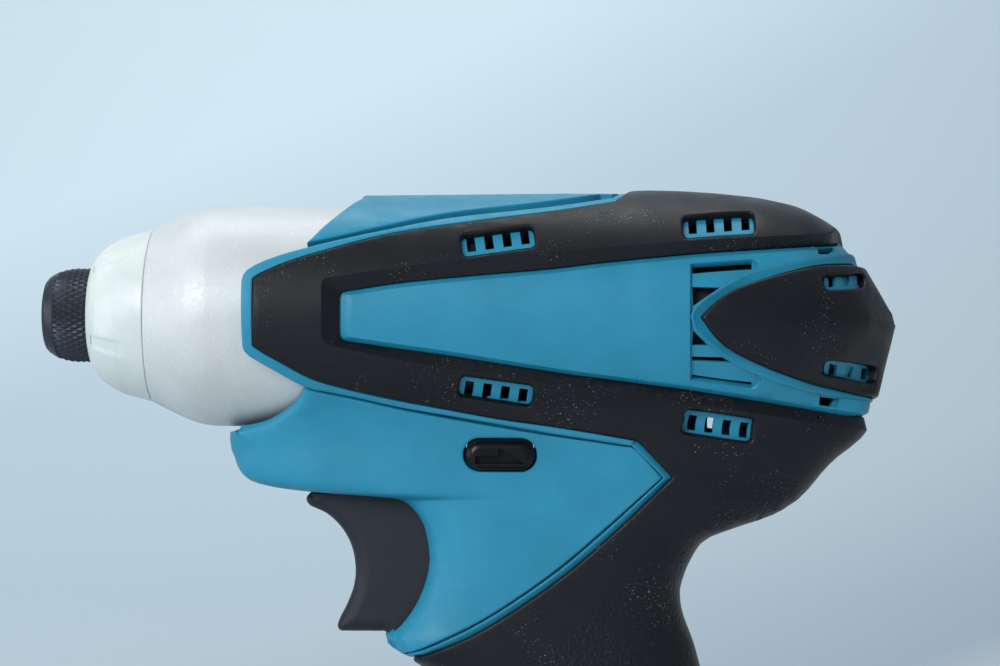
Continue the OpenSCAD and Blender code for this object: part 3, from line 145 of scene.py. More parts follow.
def level_table():
    """Front, rear and half width of the body below the barrel, by height."""
    grid = np.arange(-132, 24, 0.05)
    lean = [(z, GRIP_X + (GRIP_Z - z) * math.tan(GRIP_TILT), grow, swell) for z, grow, swell in GRIP_LINE]
    ends = ([(z, x - grow * GRIP_HALF_L) for z, x, grow, swell in lean],
            [(z, x + grow * GRIP_HALF_L + swell) for z, x, grow, swell in lean],
            [(z, grow * GRIP_HALF_W) for z, x, grow, swell in lean])
    lines = []
    for head, grip, sigma in zip((FRONT_LINE, REAR_LINE, HALF_LINE), ends, LEVEL_SOFT):
        line = np.array(sorted(head + grip))
        lines.append(softened(grid, np.interp(grid, line[:, 0], line[:, 1]), sigma))
    return [grid] + lines


BARREL_GRID, BARREL_RADII = barrel_table()
LEVEL_GRID, LEVEL_FRONT, LEVEL_REAR, LEVEL_HALF = level_table()


def level(z):
    """Middle, half length and half width of the body at a height."""
    front = np.interp(z, LEVEL_GRID, LEVEL_FRONT)
    rear = np.interp(z, LEVEL_GRID, LEVEL_REAR)
    half = np.interp(z, LEVEL_GRID, LEVEL_HALF)
    return (front + rear) / 2, (rear - front) / 2, half


def squareness(at_front, z):
    return np.where(at_front, np.interp(z, *np.array(FRONT_SQUARE).T), np.interp(z, *np.array(REAR_SQUARE).T))


def body_gap(p):
    """How far points lie outside the smooth body: below zero inside it."""
    x, y, z = p.T
    barrel = np.maximum(np.hypot(y, z) - np.interp(x, BARREL_GRID, BARREL_RADII), HEAD_X - BARREL_LEAD - x)
    mid, length, half = level(z)
    square = squareness(x < mid, z)
    a, b = np.abs(x - mid) / length, np.abs(y) / half
    ratio = np.maximum((a ** square + b ** square) ** (1 / square), 0.3)
    slope = ratio ** (1 - square) * np.hypot(a ** (square - 1) / length, b ** (square - 1) / half)
    lower = np.maximum((ratio - 1) / np.maximum(slope, 0.5 / length), z - LOWER_TOP_Z)
    near = np.maximum(FILLET - np.abs(barrel - lower), 0) / FILLET
    return np.minimum(barrel, lower) - near * near * FILLET / 4


def body_normal(p):
    step = 0.05
    slopes = [body_gap(p + step * e) - body_gap(p - step * e) for e in np.eye(3)]
    n = np.stack(slopes, 1)
    return n / np.linalg.norm(n, axis=1, keepdims=True)


def reach_surface(start, heading, low, high):
    """Points where rays leave the body."""
    low = np.full(len(start), float(low))
    high = np.full(len(start), float(high))
    for _ in range(RAY_HALVINGS):
        mid = (low + high) / 2
        outside = body_gap(start + mid[:, None] * heading) > 0
        high = np.where(outside, mid, high)
        low = np.where(outside, low, mid)
    return start + ((low + high) / 2)[:, None] * heading


# Two ways to unroll the left side on a flat sheet of U to the rear and V upwards.
def wrap_head(uv):
    """Unrolls the head about the spindle: V is an arc at the barrel's radius."""
    turn = uv[:, 1] / BARREL_R
    zero = np.zeros(len(uv))
    start = np.stack([uv[:, 0], zero, zero], 1)
    return reach_surface(start, np.stack([zero, -np.cos(turn), np.sin(turn)], 1), 0.5, 60)


def unwrap_head(p):
    return np.stack([p[:, 0], np.arctan2(p[:, 2], -p[:, 1]) * BARREL_R], 1)


def slice_shape(z):
    mid, length, half = level(z)
    return mid, length, np.maximum(half, np.sqrt(np.maximum(BARREL_R ** 2 - z ** 2, 0)))


def wrap_body(uv):
    """Unrolls level slices of the body, from its front middle to its rear middle."""
    z = uv[:, 1]
    mid, length, half = slice_shape(z)
    turn = math.pi / 2 - (uv[:, 0] - mid) / length
    zero = np.zeros(len(uv))
    start = np.stack([mid, zero, z], 1)
    return reach_surface(start, np.stack([length * np.cos(turn), -half * np.sin(turn), zero], 1), 0.02, 4)


def unwrap_body(p):
    mid, length, half = slice_shape(p[:, 2])
    turn = np.arctan2(np.maximum(-p[:, 1], 0) / half, (p[:, 0] - mid) / length)
    return np.stack([mid + (math.pi / 2 - turn) * length, p[:, 2]], 1)


def body_end(z, rear):
    """Unrolled points on the middle plane at the front or the rear of the body."""
    mid, length, _ = slice_shape(np.asarray(z, float))
    return np.stack([mid + (1 if rear else -1) * math.pi / 2 * length, z], 1)


UNWRAP = {wrap_head: unwrap_head, wrap_body: unwrap_body}


# ---------------------------------------------------------------- outlines drawn over the photograph's frame
def smooth_run(points, spacing=4.0):
    """An even run of points through the given ones, rounded like a bent spline."""
    p = np.asarray(points, float)
    if len(p) == 2:
        count = max(2, int(np.linalg.norm(p[1] - p[0]) / spacing))
        return p[0] + np.linspace(0, 1, count + 1)[:, None] * (p[1] - p[0])
    ext = np.vstack([2 * p[0] - p[1], p, 2 * p[-1] - p[-2]])
    out = []
    for a, b, c, d in zip(ext[:-3], ext[1:-2], ext[2:-1], ext[3:]):
        count = max(2, int(np.linalg.norm(c - b) / spacing))
        t = np.linspace(0, 1, count, endpoint=False)[:, None]
        out.append(0.5 * (2 * b + (c - a) * t + (2 * a - 5 * b + 4 * c - d) * t ** 2
                          + (3 * b - a - 3 * c + d) * t ** 3))
    return np.vstack(out + [p[-1:]])


ROLLED = np.array([[math.cos(VIEW_ROLL), math.sin(VIEW_ROLL)], [-math.sin(VIEW_ROLL), math.cos(VIEW_ROLL)]])
EYE = np.array([VIEW_X, -VIEW_DISTANCE, VIEW_Z])


def seen_at(pixels):
    """Points of the body that show at pixels of the photograph's frame."""
    flat = (pixels - [FRAME_W / 2, FRAME_H / 2]) * [VIEW_MM_PER_PX, -VIEW_MM_PER_PX] @ ROLLED
    heading = np.insert(flat / VIEW_DISTANCE, 1, 1.0, axis=1)
    depths = np.linspace(VIEW_DISTANCE - 30, VIEW_DISTANCE, 61)
    gaps = np.stack([body_gap(EYE + d * heading) for d in depths], 1)
    hit = gaps < 0
    first = np.where(hit.any(1), hit.argmax(1), gaps.argmin(1))
    low, high = depths[np.maximum(first - 1, 0)], depths[first]
    for _ in range(SIGHT_HALVINGS):
        mid = (low + high) / 2
        inside = body_gap(EYE + mid[:, None] * heading) < 0
        high = np.where(inside, mid, high)
        low = np.where(inside, low, mid)
    return EYE + high[:, None] * heading


def shown_at(points):
    """Pixels of the photograph's frame at which points show."""
    away = points - EYE
    flat = away[:, [0, 2]] / away[:, 1:2] * VIEW_DISTANCE @ ROLLED.T
    return flat / [VIEW_MM_PER_PX, -VIEW_MM_PER_PX] + [FRAME_W / 2, FRAME_H / 2]


def on(wrap, pixels, lift):
    """Unrolled points that show at pixels once they are lifted off the body."""
    pixels = np.asarray(pixels, float)
    aim = pixels.copy()
    for _ in range(SIGHT_TRIES):
        foot = seen_at(aim)
        miss = pixels - shown_at(foot + lift * body_normal(foot))
        aim += np.clip(miss, -6, 6)
    return UNWRAP[wrap](seen_at(aim))


def drawn(wrap, runs, lift=0.0):
    """An unrolled path from runs of pixels: each run is smooth, and runs meet at corners."""
    path = []
    for run in runs:
        pts = smooth_run(run)
        path.append(pts if not path else pts[1:])
    return on(wrap, np.vstack(path), lift)


def oblong(center, size, tilt, corner, steps=5):
    """Pixels round a rectangle with rounded corners, tilted up to the right in degrees."""
    half = np.array(size) / 2 - corner
    out = []
    for k, (sx, sy) in enumerate(((1, 1), (-1, 1), (-1, -1), (1, -1))):
        for a in np.linspace(0, math.pi / 2, steps) + k * math.pi / 2:
            out.append((sx * half[0] + corner * math.cos(a), sy * half[1] + corner * math.sin(a)))
    a = math.radians(tilt)
    turn = np.array([[math.cos(a), -math.sin(a)], [math.sin(a), math.cos(a)]])
    out = np.array(out) @ turn.T
    return np.stack([center[0] + out[:, 0], center[1] - out[:, 1]], 1)


# ---------------------------------------------------------------- small mesh steps
def loop_of(bm, points):
    """Edges of a closed loop through points."""
    verts = [bm.verts.new(p) for p in points]
    return [bm.edges.new(pair) for pair in zip(verts, verts[1:] + verts[:1])]


def everything(bm):
    return bm.verts[:] + bm.edges[:] + bm.faces[:]


def moved(bm, vec):
    bmesh.ops.translate(bm, vec=vec, verts=bm.verts[:])
    return bm


def turned(bm, matrix):
    bmesh.ops.rotate(bm, cent=(0, 0, 0), matrix=matrix, verts=bm.verts[:])
    return bm


def facing_out(bm):
    bmesh.ops.recalc_face_normals(bm, faces=bm.faces[:])
    return bm


def mirrored(bm):
    """The same shape on the other side of the tool."""
    bmesh.ops.scale(bm, vec=(1, -1, 1), verts=bm.verts[:])
    bmesh.ops.reverse_faces(bm, faces=bm.faces[:])
    return bm


def place(bm):
    """Moves a shape from the tool's frame to the part's frame."""
    bmesh.ops.scale(bm, vec=(MM, MM, MM), verts=bm.verts[:])
    return moved(bm, (TIP_X, 0, AXIS_Z))


# ---------------------------------------------------------------- panels: drawn flat, then wrapped on the body
ROUND_STEPS = (0.134, 0.366, 0.5)


def spread(path, spacing):
    """A closed path with no long steps and no doubled points."""
    out = []
    for a, b in zip(path, np.roll(path, -1, axis=0)):
        gap = np.linalg.norm(b - a)
        if gap > 0.02:
            count = max(1, int(gap / spacing))
            out.extend(a + (b - a) * k / count for k in range(count))
    return np.array(out)


def path_gap(points, path):
    """Distance of flat points from a path."""
    a, b = path[:-1], path[1:]
    run = b - a
    size = np.maximum((run ** 2).sum(1), 1e-9)
    best = np.full(len(points), 1e9)
    for chunk in range(0, len(points), 4000):
        p = points[chunk:chunk + 4000, None, :]
        t = np.clip(((p - a) * run).sum(2) / size, 0, 1)
        best[chunk:chunk + 4000] = np.sqrt((((p - a) - t[..., None] * run) ** 2).sum(2)).min(1)
    return best


def flat_panel(outer, holes, depth, round_r):
    """A closed flat plate, with rings of points ready for rounded edges."""
    bm = bmesh.new()
    edges = []
    for path in [outer] + list(holes):
        edges += loop_of(bm, [(u, 0, v) for u, v in path])
    made = bmesh.ops.triangle_fill(bm, use_beauty=True, use_dissolve=False, edges=edges, normal=(0, -1, 0))
    under = [f for f in made["geom"] if isinstance(f, bmesh.types.BMFace)]
    raised = bmesh.ops.extrude_face_region(bm, geom=under, use_keep_orig=True)["geom"]
    bmesh.ops.translate(bm, verts=[g for g in raised if isinstance(g, bmesh.types.BMVert)], vec=(0, -depth, 0))
    moved(bm, (0, depth, 0))
    upper = [g for g in raised if isinstance(g, bmesh.types.BMFace)]
    for step in ROUND_STEPS if round_r else ():
        bmesh.ops.inset_region(bm, faces=upper, thickness=step * round_r, use_even_offset=False,
                               use_boundary=True)
    return facing_out(bm)


def cut_grid(bm, cell, rows=()):
    """Cuts a flat plate into cells, with further rows at the given heights."""
    co = np.array([v.co for v in bm.verts])
    for axis, normal in ((0, (1, 0, 0)), (2, (0, 0, 1))):
        low, high = co[:, axis].min(), co[:, axis].max()
        lines = np.arange(math.ceil(low / cell) * cell, high, cell)
        for k in np.append(lines, rows) if axis else lines:
            at = [0, 0, 0]
            at[axis] = k
            bmesh.ops.bisect_plane(bm, geom=everything(bm), dist=1e-5, plane_co=at, plane_no=normal)


def edge_drop(uv, top, rounds):
    """How far an upper face sinks at its rounded edges: rounds lists paths with the radius there."""
    drop = np.zeros(len(uv))
    for path, radius in rounds:
        near = np.clip(path_gap(uv[top], path) / radius, 0, 1)
        drop[top] = np.maximum(drop[top], radius * (1 - np.sqrt(1 - (1 - near) ** 2)))
    return drop


def sloping(start, end, fall):
    """Height of a face that falls evenly from one path to another."""
    def height(uv):
        a, b = path_gap(uv, start), path_gap(uv, end)
        return -fall * a / np.maximum(a + b, 1e-6)
    return height


def wrapped(bm, wrap, lift, depth, rounds, shape=None):
    """Moves a flat plate on to the body; shape adds to the height of its upper face."""
    co = np.array([v.co for v in bm.verts])
    uv = co[:, [0, 2]]
    top = co[:, 1] < depth / 2
    height = np.where(top, lift, lift - depth) - edge_drop(uv, top, rounds)
    if shape is not None:
        height[top] += shape(uv[top])
    p = wrap(uv)
    p = p + height[:, None] * body_normal(p)
    for v, q in zip(bm.verts, to_row(p)):
        v.co = q


def panel(outer, wrap, lift, depth, holes=(), rounds=(), round_r=0.4, cell=1.6, shape=None, rows=()):
    """A plate of the left side, closed, rounded along the given paths, and lying on the body."""
    bm = flat_panel(spread(outer, cell), [spread(h, cell) for h in holes], depth, round_r)
    cut_grid(bm, cell, rows)
    wrapped(bm, wrap, lift, depth, rounds, shape)
    return bm


def closed(path):
    return np.vstack([path, path[:1]])


# ---------------------------------------------------------------- pieces
def new_object(name, bm, material):
    """A smooth-shaded object with one finish."""
    for f in bm.faces:
        f.smooth = True
    mesh = bpy.data.meshes.new(name)
    bm.to_mesh(mesh)
    bm.free()
    mesh.materials.append(material)
    obj = bpy.data.objects.new(name, mesh)
    bpy.context.scene.collection.objects.link(obj)
    return obj


def piece(name, bms, body, node, slot, sharp=35, mirror=False):
    """One object from closed shells, riding on a CAD body in place of one of its nodes."""
    whole = bmesh.new()
    for bm in bms:
        part = bpy.data.meshes.new("shell")
        bm.to_mesh(part)
        whole.from_mesh(part)
        bpy.data.meshes.remove(part)
    if mirror:
        mirrored(whole)
    for e in whole.edges:
        if len(e.link_faces) == 2:
            e.smooth = e.smooth and e.calc_face_angle() < math.radians(sharp)
    obj = new_object(name, whole, FINISHES[slot])
    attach(obj, body)
    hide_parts(node)
    return obj


# ---------------------------------------------------------------- left side: outlines
RIDGE = math.pi / 2 * BARREL_R
BAND_LIFT, RIM_LIFT, SPINE_LIFT, PLATEAU_LIFT, SHELL_LIFT = 1.0, 0.75, 0.2, -0.5, -1.3
BEVEL_DROP, HUMP_RISE = 1.7, 0.25
# Thickness of the layers, and radius of their edges
SKIN_T, PANEL_T, BEVEL_T, RIM_T, STRIP_T = 2.2, 2.2, 2.4, 2.7, 2.0
CORE_T, PLATEAU_T, VENT_T, SHELL_T = 1.8, 1.6, 0.7, 0.6
SOFT_R, WINDOW_R, HARD_R = 0.5, 0.45, 0.3

BAND_TOP = [(252, 279), (258, 274), (285, 262), (323, 250), (390, 233), (470, 221), (550, 211), (590, 205),
            (616, 201)]
BAND_LOW = [(634, 441), (600, 435), (550, 427), (500, 420), (450, 411), (401, 402), (350, 391), (312, 380),
            (285, 366), (262, 353), (252, 346)]
BAND_OVER_TOP = [(106.8, 0.95 * RIDGE), (109.2, RIDGE), (144.6, RIDGE)]
RIM_OVER_TOP = [(106.3, RIDGE), (104.6, 0.92 * RIDGE)]
BAND_TAIL = [(146.4, RIDGE)]
SPINE_RISE, SPINE_RISE_X, SPINE_RISE_LEN = 0.55, 60, 35
CREASE = [[(832, 233), (690, 241), (500, 256), (400, 267), (345, 275), (329, 277)],
          [(329, 277), (323, 279), (321, 285)], [(321, 285), (321, 336)],
          [(321, 336), (323, 342), (329, 345)],
          [(329, 345), (400, 360), (500, 376), (550, 384), (600, 391), (697, 404)]]
BORDER = [[(838, 243), (760, 248), (690, 253), (600, 262), (550, 268), (470, 275), (401, 282), (348, 290)],
          [(348, 290), (341, 292), (339, 298)], [(339, 298), (339, 333)],
          [(339, 333), (341, 339), (348, 342)],
          [(348, 342), (401, 350), (450, 357), (550, 373), (600, 380), (691, 392)]]
RIM_TOP = [(612, 197.5), (550, 206), (450, 217), (380, 230), (340, 238.5), (307, 246.5), (280, 254),
           (258, 262.5), (247, 269)]
RIM_NOSE = [[(247, 269), (243, 274), (241, 281)], [(241, 281), (240.5, 315), (242, 347)],
            [(242, 347), (244, 352), (249, 357)]]
RIM_LOW = [(249, 357), (275, 372), (305, 388), (330, 393.5), (360, 399.5), (401, 408.5), (450, 417),
           (500, 425.5), (550, 434), (600, 441.5), (632, 446.5)]
SPINE_LOW = [(307, 242), (340, 235.5), (380, 226.5), (450, 213.5), (550, 203), (612, 195)]
SPINE_FRONT = [(362, 198.5), (353, 203), (328, 222), (307, 242)]

SEAM = [(634, 441), (697, 404)]

# Vent windows: middle, length and height, tilt and number of holes
HEAD_VENTS = [((498, 241), (74, 22), 8, 4), ((496, 392), (74, 22), -8, 4), ((719, 225), (72, 22), 4, 4)]
GRIP_VENT = ((718, 426.5), (71, 24), -8, 4)
PAD_VENTS = [((846, 281), (44, 16), 4, 3), ((849, 372), (50, 17), -8, 3)]


def vent_holes(vent):
    """Pixels round each small hole in a vent window."""
    (cx, cy), (length, height), tilt, count = vent
    a = math.radians(tilt)
    pitch = length * 0.98 / count
    out = []
    for k in range(count):
        along = (k - (count - 1) / 2) * pitch
        at = (cx + along * math.cos(a), cy - along * math.sin(a))
        out.append(oblong(at, (pitch * 0.48, height * 0.64), tilt, 0.8))
    return out


def window(vent):
    return oblong(vent[0], vent[1], vent[2], 5)


def band_shells():
    top = drawn(wrap_head, [BAND_TOP], BAND_LIFT)
    low = drawn(wrap_head, [BAND_LOW], BAND_LIFT)
    crease = drawn(wrap_head, CREASE, BAND_LIFT)
    border = drawn(wrap_head, BORDER, BAND_LIFT - BEVEL_DROP)
    over = np.array(BAND_OVER_TOP)
    holes = [on(wrap_head, window(v), BAND_LIFT) for v in HEAD_VENTS]
    seam = drawn(wrap_head, [SEAM], BAND_LIFT)[::-1]
    outer = np.vstack([top, over, crease, seam[1:-1], low])
    edge = np.vstack([low, top, over[:2]])
    rounds = [(edge, SOFT_R), (np.vstack([over[2:], crease[:1]]), SOFT_R)]
    rounds += [(closed(h), WINDOW_R) for h in holes]

    def hump(uv):
        rise = np.clip((uv[:, 1] / RIDGE - 0.55) / 0.45, 0, 1)
        return HUMP_RISE * rise * rise * (3 - 2 * rise)
    main = panel(outer, wrap_head, BAND_LIFT, SKIN_T, holes, rounds, SOFT_R, shape=hump)
    crease, border = np.vstack([over[2:], crease]), np.vstack([BAND_TAIL, border])
    bevel = panel(np.vstack([crease, border[::-1]]), wrap_head, BAND_LIFT, BEVEL_T,
                  shape=sloping(crease, border, BEVEL_DROP), round_r=0)
    return [main, bevel]


def rim_shell():
    outer = drawn(wrap_head, [RIM_TOP] + RIM_NOSE + [RIM_LOW], RIM_LIFT)
    inner = np.vstack([drawn(wrap_head, [BAND_LOW], RIM_LIFT), drawn(wrap_head, [BAND_TOP], RIM_LIFT)])
    outer = np.vstack([RIM_OVER_TOP, outer])
    inner = np.vstack([inner, BAND_OVER_TOP[:2]])
    return panel(np.vstack([outer, inner]), wrap_head, RIM_LIFT, RIM_T, (), [(outer, 0.4), (inner, 0.15)], 0.4)


def spine_shell():
    low = drawn(wrap_head, [SPINE_LOW], SPINE_LIFT)
    front = drawn(wrap_head, [SPINE_FRONT], SPINE_LIFT)
    over = np.array([(104.6, RIDGE), (58.7, RIDGE)])

    def rise(uv):
        return SPINE_RISE * np.clip((uv[:, 0] - SPINE_RISE_X) / SPINE_RISE_LEN, 0, 1)
    return panel(np.vstack([low, over, front[:-1]]), wrap_head, SPINE_LIFT, PANEL_T, (),
                 [(low, HARD_R), (front, HARD_R)], HARD_R, shape=rise)


# Long vents in the side panel, and the short slots near its tail
LOUVRES = [[(692, 265), (752, 261), (752, 269.5), (692, 273.8)],
           [(692, 286.8), (720, 287.6), (706, 297), (693, 306)],
           [(693, 330.5), (708, 345.3), (692, 345.3)],
           [(692, 356.5), (722, 357.2), (731, 362.5), (692, 360.8)],
           [(692, 374.6), (752, 382.3), (752, 390), (692, 382)]]
TAIL_SLOTS = [((826.5, 250.5), (17, 7), 3, 1.5), ((829.5, 401.8), (20, 10), -8, 1.5)]

# Side panel behind the band's bevel: rear ends, and the notch that the long vents sit in
PANEL_LOW_REAR = [(691, 392), (755, 402), (820, 412), (855, 417.3)]
PANEL_REAR_LOW_Z, PANEL_REAR_TOP_Z = [-18.7, -15.4], [11.5, 13.6]
LEAF_END_Z = (9.2, -14.7)
BEAD_TOP = [(691, 316), (694.4, 307.4), (704, 299), (716.8, 290), (735, 279.5), (753, 271), (787.4, 262.6),
            (820, 256.6), (846, 253.3)]
BEAD_LOW = [(691, 316), (694.4, 329.8), (704, 339), (716.8, 350.4), (735.8, 364.2), (756.4, 374.5),
            (787.4, 385.7), (820, 394.3), (858, 399)]
NOTCH = [[(758, 269.5), (758, 263), (752, 259.5)], [(752, 259.5), (691, 264)], [(691, 264), (691, 380.5)],
         [(691, 380.5), (752, 389)], [(752, 389), (758, 385), (758, 375.3)]]
LEAF_TOP = [(701.3, 317), (716.8, 300.5), (735.8, 288.5), (763.3, 278.1), (797.7, 267.8), (825.3, 262.6),
            (852, 261.8)]
LEAF_LOW = [(860, 395), (825.3, 389.2), (797.7, 381.4), (763.3, 367.6), (735.8, 353.9), (716.8, 339.2),
            (701.3, 317)]
LEAF_LIFT, BEAD_LIFT, VENT_LIFT, DEEP_VENT_LIFT = 0.9, -0.15, -0.25, -0.8
BEAD_RIDGE, BEAD_RIDGE_W, BEAD_FALL = 0.3, 0.9, 0.5
CHAMFER_DROP, CHAMFER_W = 0.75, 1.0
LEAF_CREASE_Z, LEAF_RIDGE, LEAF_FALL = -0.55, 1.0, 0.17
TAIL_X, TAIL_REACH = [(-15.5, 151.3), (-14.5, 151.7), (-0.55, 155.3), (9.5, 149.5), (10.5, 148.6)], 9.0
LEAF_REAR_Z = np.linspace(LEAF_END_Z[0], LEAF_END_Z[1], 17)


def vent_plates():
    """Strips with small holes, set just below the soft skin in each window."""
    plates = []
    for vent in HEAD_VENTS + [GRIP_VENT] + PAD_VENTS:
        wrap = wrap_head if vent in HEAD_VENTS else wrap_body
        lift = VENT_LIFT if vent in HEAD_VENTS else DEEP_VENT_LIFT
        holes = [on(wrap, h, lift) for h in vent_holes(vent)]
        plates.append(panel(on(wrap, window(vent), lift), wrap, lift, VENT_T, holes, round_r=0, cell=0.8))
    return plates


# Moulded ribs on the middle plane behind the vents; the first has a gap that lets daylight through
RIBS = [(((719, 428), (86, 46), -8, 3), [((708, 424), (14, 30), -8, 1)]),
        (((838, 372), (56, 44), -8, 3), [])]
RIB_HALF = 0.7


def vent_ribs():
    ribs = []
    for outline, gaps in RIBS:
        outer, *gaps = (at_depth(oblong(*shape), 0) for shape in [outline] + gaps)
        ribs.append(place(both_sides(upright_plate(outer, -RIB_HALF, RIB_HALF, (), 0, gaps))))
    return ribs


def shell_holes():
    holes = [oblong(v[0], np.array(v[1]) - 2, v[2], 4) for v in HEAD_VENTS + [GRIP_VENT] + PAD_VENTS]
    holes += [np.array(p) for p in LOUVRES]
    return holes + [oblong(at, np.array(size) + 4, tilt, 1.5) for at, size, tilt, corner in TAIL_SLOTS]


SHELL_FRONT = [[(358, 205), (333, 226), (312, 248)], [(312, 248), (262, 266), (247, 277)],
               [(247, 277), (247, 350)], [(247, 350), (305, 384), (318, 392)]]
SHELL_BACK = [(57, -20.6), (96, -20.6), (104, -22.2), (112, -23.4), (128, -23.4), (129, -22.2), (142, -22.2),
              (149.5, -13), (151.6, 0), (150, 13), (143.5, RIDGE), (60.5, RIDGE)]


def barrel_shell(screws):
    """Hard wall under the rim, the band and the side panel."""
    front = drawn(wrap_head, SHELL_FRONT, SHELL_LIFT)
    holes = [on(wrap_head, h, SHELL_LIFT) for h in shell_holes()] + screws
    return panel(np.vstack([front, SHELL_BACK]), wrap_head, SHELL_LIFT, SHELL_T, holes, round_r=0)


def plateau_shell():
    border = drawn(wrap_body, BORDER, PLATEAU_LIFT)
    low_rear = np.vstack([drawn(wrap_body, [PANEL_LOW_REAR], PLATEAU_LIFT), body_end(PANEL_REAR_LOW_Z, True)])
    low_bead = drawn(wrap_body, [[(858, 399), (820, 394.3), (787.4, 385.7), (758, 375.3)]], PLATEAU_LIFT)
    notch = drawn(wrap_body, NOTCH, PLATEAU_LIFT)[::-1]
    top_bead = drawn(wrap_body, [[(758, 269.5), (787.4, 262.6), (820, 256.6), (846, 253.3)]], PLATEAU_LIFT)
    top_rear = body_end(PANEL_REAR_TOP_Z, True)
    outer = np.vstack([border, low_rear[1:], low_bead, notch[1:], top_bead[1:], top_rear])
    edge = np.vstack([border, low_rear])
    holes = [on(wrap_body, oblong(*slot), PLATEAU_LIFT) for slot in TAIL_SLOTS]

    def chamfer(uv):
        return -CHAMFER_DROP * np.clip(1 - path_gap(uv, edge) / CHAMFER_W, 0, 1)
    return panel(outer, wrap_body, PLATEAU_LIFT, PLATEAU_T, holes, [(notch, 0.25)], CHAMFER_W, shape=chamfer)


def bead_shell():
    low, top = drawn(wrap_body, [BEAD_LOW], BEAD_LIFT), drawn(wrap_body, [BEAD_TOP], BEAD_LIFT)
    leaf = drawn(wrap_body, [LEAF_TOP], BEAD_LIFT), drawn(wrap_body, [LEAF_LOW], BEAD_LIFT)
    top_end = body_end([PANEL_REAR_TOP_Z[0], LEAF_END_Z[0]], True)
    low_end = body_end([LEAF_END_Z[1], PANEL_REAR_LOW_Z[1]], True)
    outer = np.vstack([low[::-1], top[1:], top_end, leaf[0][::-1], leaf[1][::-1][1:], low_end])
    ridge = np.vstack([low_end[1:], low[::-1], top, top_end[:1]])
    foot = np.vstack([low_end[:1], leaf[1], leaf[0], top_end[1:]])

    fall = sloping(ridge, foot, BEAD_FALL)

    def trough(uv):
        return BEAD_RIDGE * np.clip(1 - path_gap(uv, ridge) / BEAD_RIDGE_W, 0, 1) + fall(uv)
    return panel(outer, wrap_body, BEAD_LIFT, BEVEL_T, (), [(ridge, 0.35)], 0.45, 0.8, trough)


def leaf_shell(screws):
    top, low = drawn(wrap_body, [LEAF_TOP], LEAF_LIFT), drawn(wrap_body, [LEAF_LOW], LEAF_LIFT)
    rear = body_end(LEAF_REAR_Z, True)
    windows = [on(wrap_body, window(v), LEAF_LIFT) for v in PAD_VENTS]
    holes = windows + screws

    def ridge(uv):
        return LEAF_RIDGE - LEAF_FALL * np.abs(uv[:, 1] - LEAF_CREASE_Z)
    edge = np.vstack([rear[-1:], low, top, rear[:1]])
    bm = panel(np.vstack([top, rear, low[:-1]]), wrap_body, LEAF_LIFT, SKIN_T, holes,
               [(edge, SOFT_R)] + [(closed(h), 0.4) for h in holes], SOFT_R, shape=ridge, rows=[LEAF_CREASE_Z])
    for e in bm.edges:
        on_crease = all(abs((v.co.z - AXIS_Z) / MM - LEAF_CREASE_Z) < 0.3 for v in e.verts)
        if on_crease and e.calc_face_angle(0) > LEAF_FALL:
            e.smooth = False
    return pointed_tail(bm)


def pointed_tail(bm):
    """Draws the leaf's rear end out to a point behind its crease."""
    z = np.arange(-18, 14, 0.25)
    flat = body_end(z, True)
    ends = wrap_body(flat)[:, 0] + LEAF_LIFT + LEAF_RIDGE - LEAF_FALL * np.abs(z - LEAF_CREASE_Z)
    want = np.interp(z, *np.array(TAIL_X).T)
    for v in bm.verts:
        x, height = (v.co.x - TIP_X) / MM, (v.co.z - AXIS_Z) / MM
        now = np.interp(height, z, ends)
        share = min(max(1 - (now - x) / TAIL_REACH, 0), 1)
        v.co.x += share * share * (3 - 2 * share) * (np.interp(height, z, want) - now) * MM
    return bm


# ---------------------------------------------------------------- left side: body below the head
PANEL_LIFT, SKIN_LIFT, CORE_LIFT = 0.55, 1.0, -0.7
SLOT_HALF = 7.6
NOSE_ROWS = np.append(np.arange(-33.0, -30.4, 0.1), np.arange(-30.2, -26, 0.5))
NOSE_TOP_Z, SLOT_TOP_Z, SLOT_LOW_Z, CHIN_Z = -21.7, -31.6, -57.2, -61.6
STRIP_CHIN_Z, STRIP_FALL, NOSE_LIP = (-62.5, -61.75), 0.8, 1.2
LOWER_TOP = [[(242, 432.5), (252, 429.5), (268.5, 424.5), (287.5, 414), (299.5, 402.5), (304.5, 391.5)],
             [(304.5, 391.5), (309, 390.5)],
             [(309, 390.5), (330, 395.5), (360, 401.5), (401, 410.5), (450, 419.5), (500, 428), (550, 436),
              (600, 443), (627, 447)]]
LOWER_REAR = [[(627, 447), (636, 450), (662, 478)], [(662, 478), (607, 527), (551, 574), (484, 619), (420, 650)]]
STRIP_OUT = [[(634, 441), (641, 445), (672, 478)], [(672, 478), (614, 533), (557, 581), (488, 627), (424, 658)]]
STRIP_IN = [[(632, 446.5), (637, 451), (664, 478)],
            [(664, 478), (608.5, 529), (552.5, 576), (485, 621), (420.5, 653)]]
SKIN_EDGE = [run[::-1] for run in STRIP_OUT[::-1]]
SKIN_CREASE = [[(697, 404), (755, 413), (820, 423), (852, 427.5)]]
SKIN_TAIL_Z, SKIN_FOOT_Z, SKIN_CHIN_Z, SKIN_STEP = -20.0, -124.6, -62.6, 1.5
CORE_TOP = [[(250, 432), (280, 424), (300, 407), (312, 394)],
            [(312, 393), (450, 417), (632, 444), (700, 445), (845, 445)]]
CORE_TAIL_Z = -22.0


def slot_edge():
    """Unrolled edge of the opening that the trigger works in, from its top to its foot."""
    z = np.append(np.arange(SLOT_TOP_Z, -38, -0.4), np.arange(-38.2, SLOT_LOW_Z - 0.01, -0.8))
    mid, length, half = level(z)
    square = squareness(True, z)
    x = mid - length * (1 - (SLOT_HALF / half) ** square) ** (1 / square)
    return unwrap_body(np.stack([x, np.full(len(z), -SLOT_HALF), z], 1))


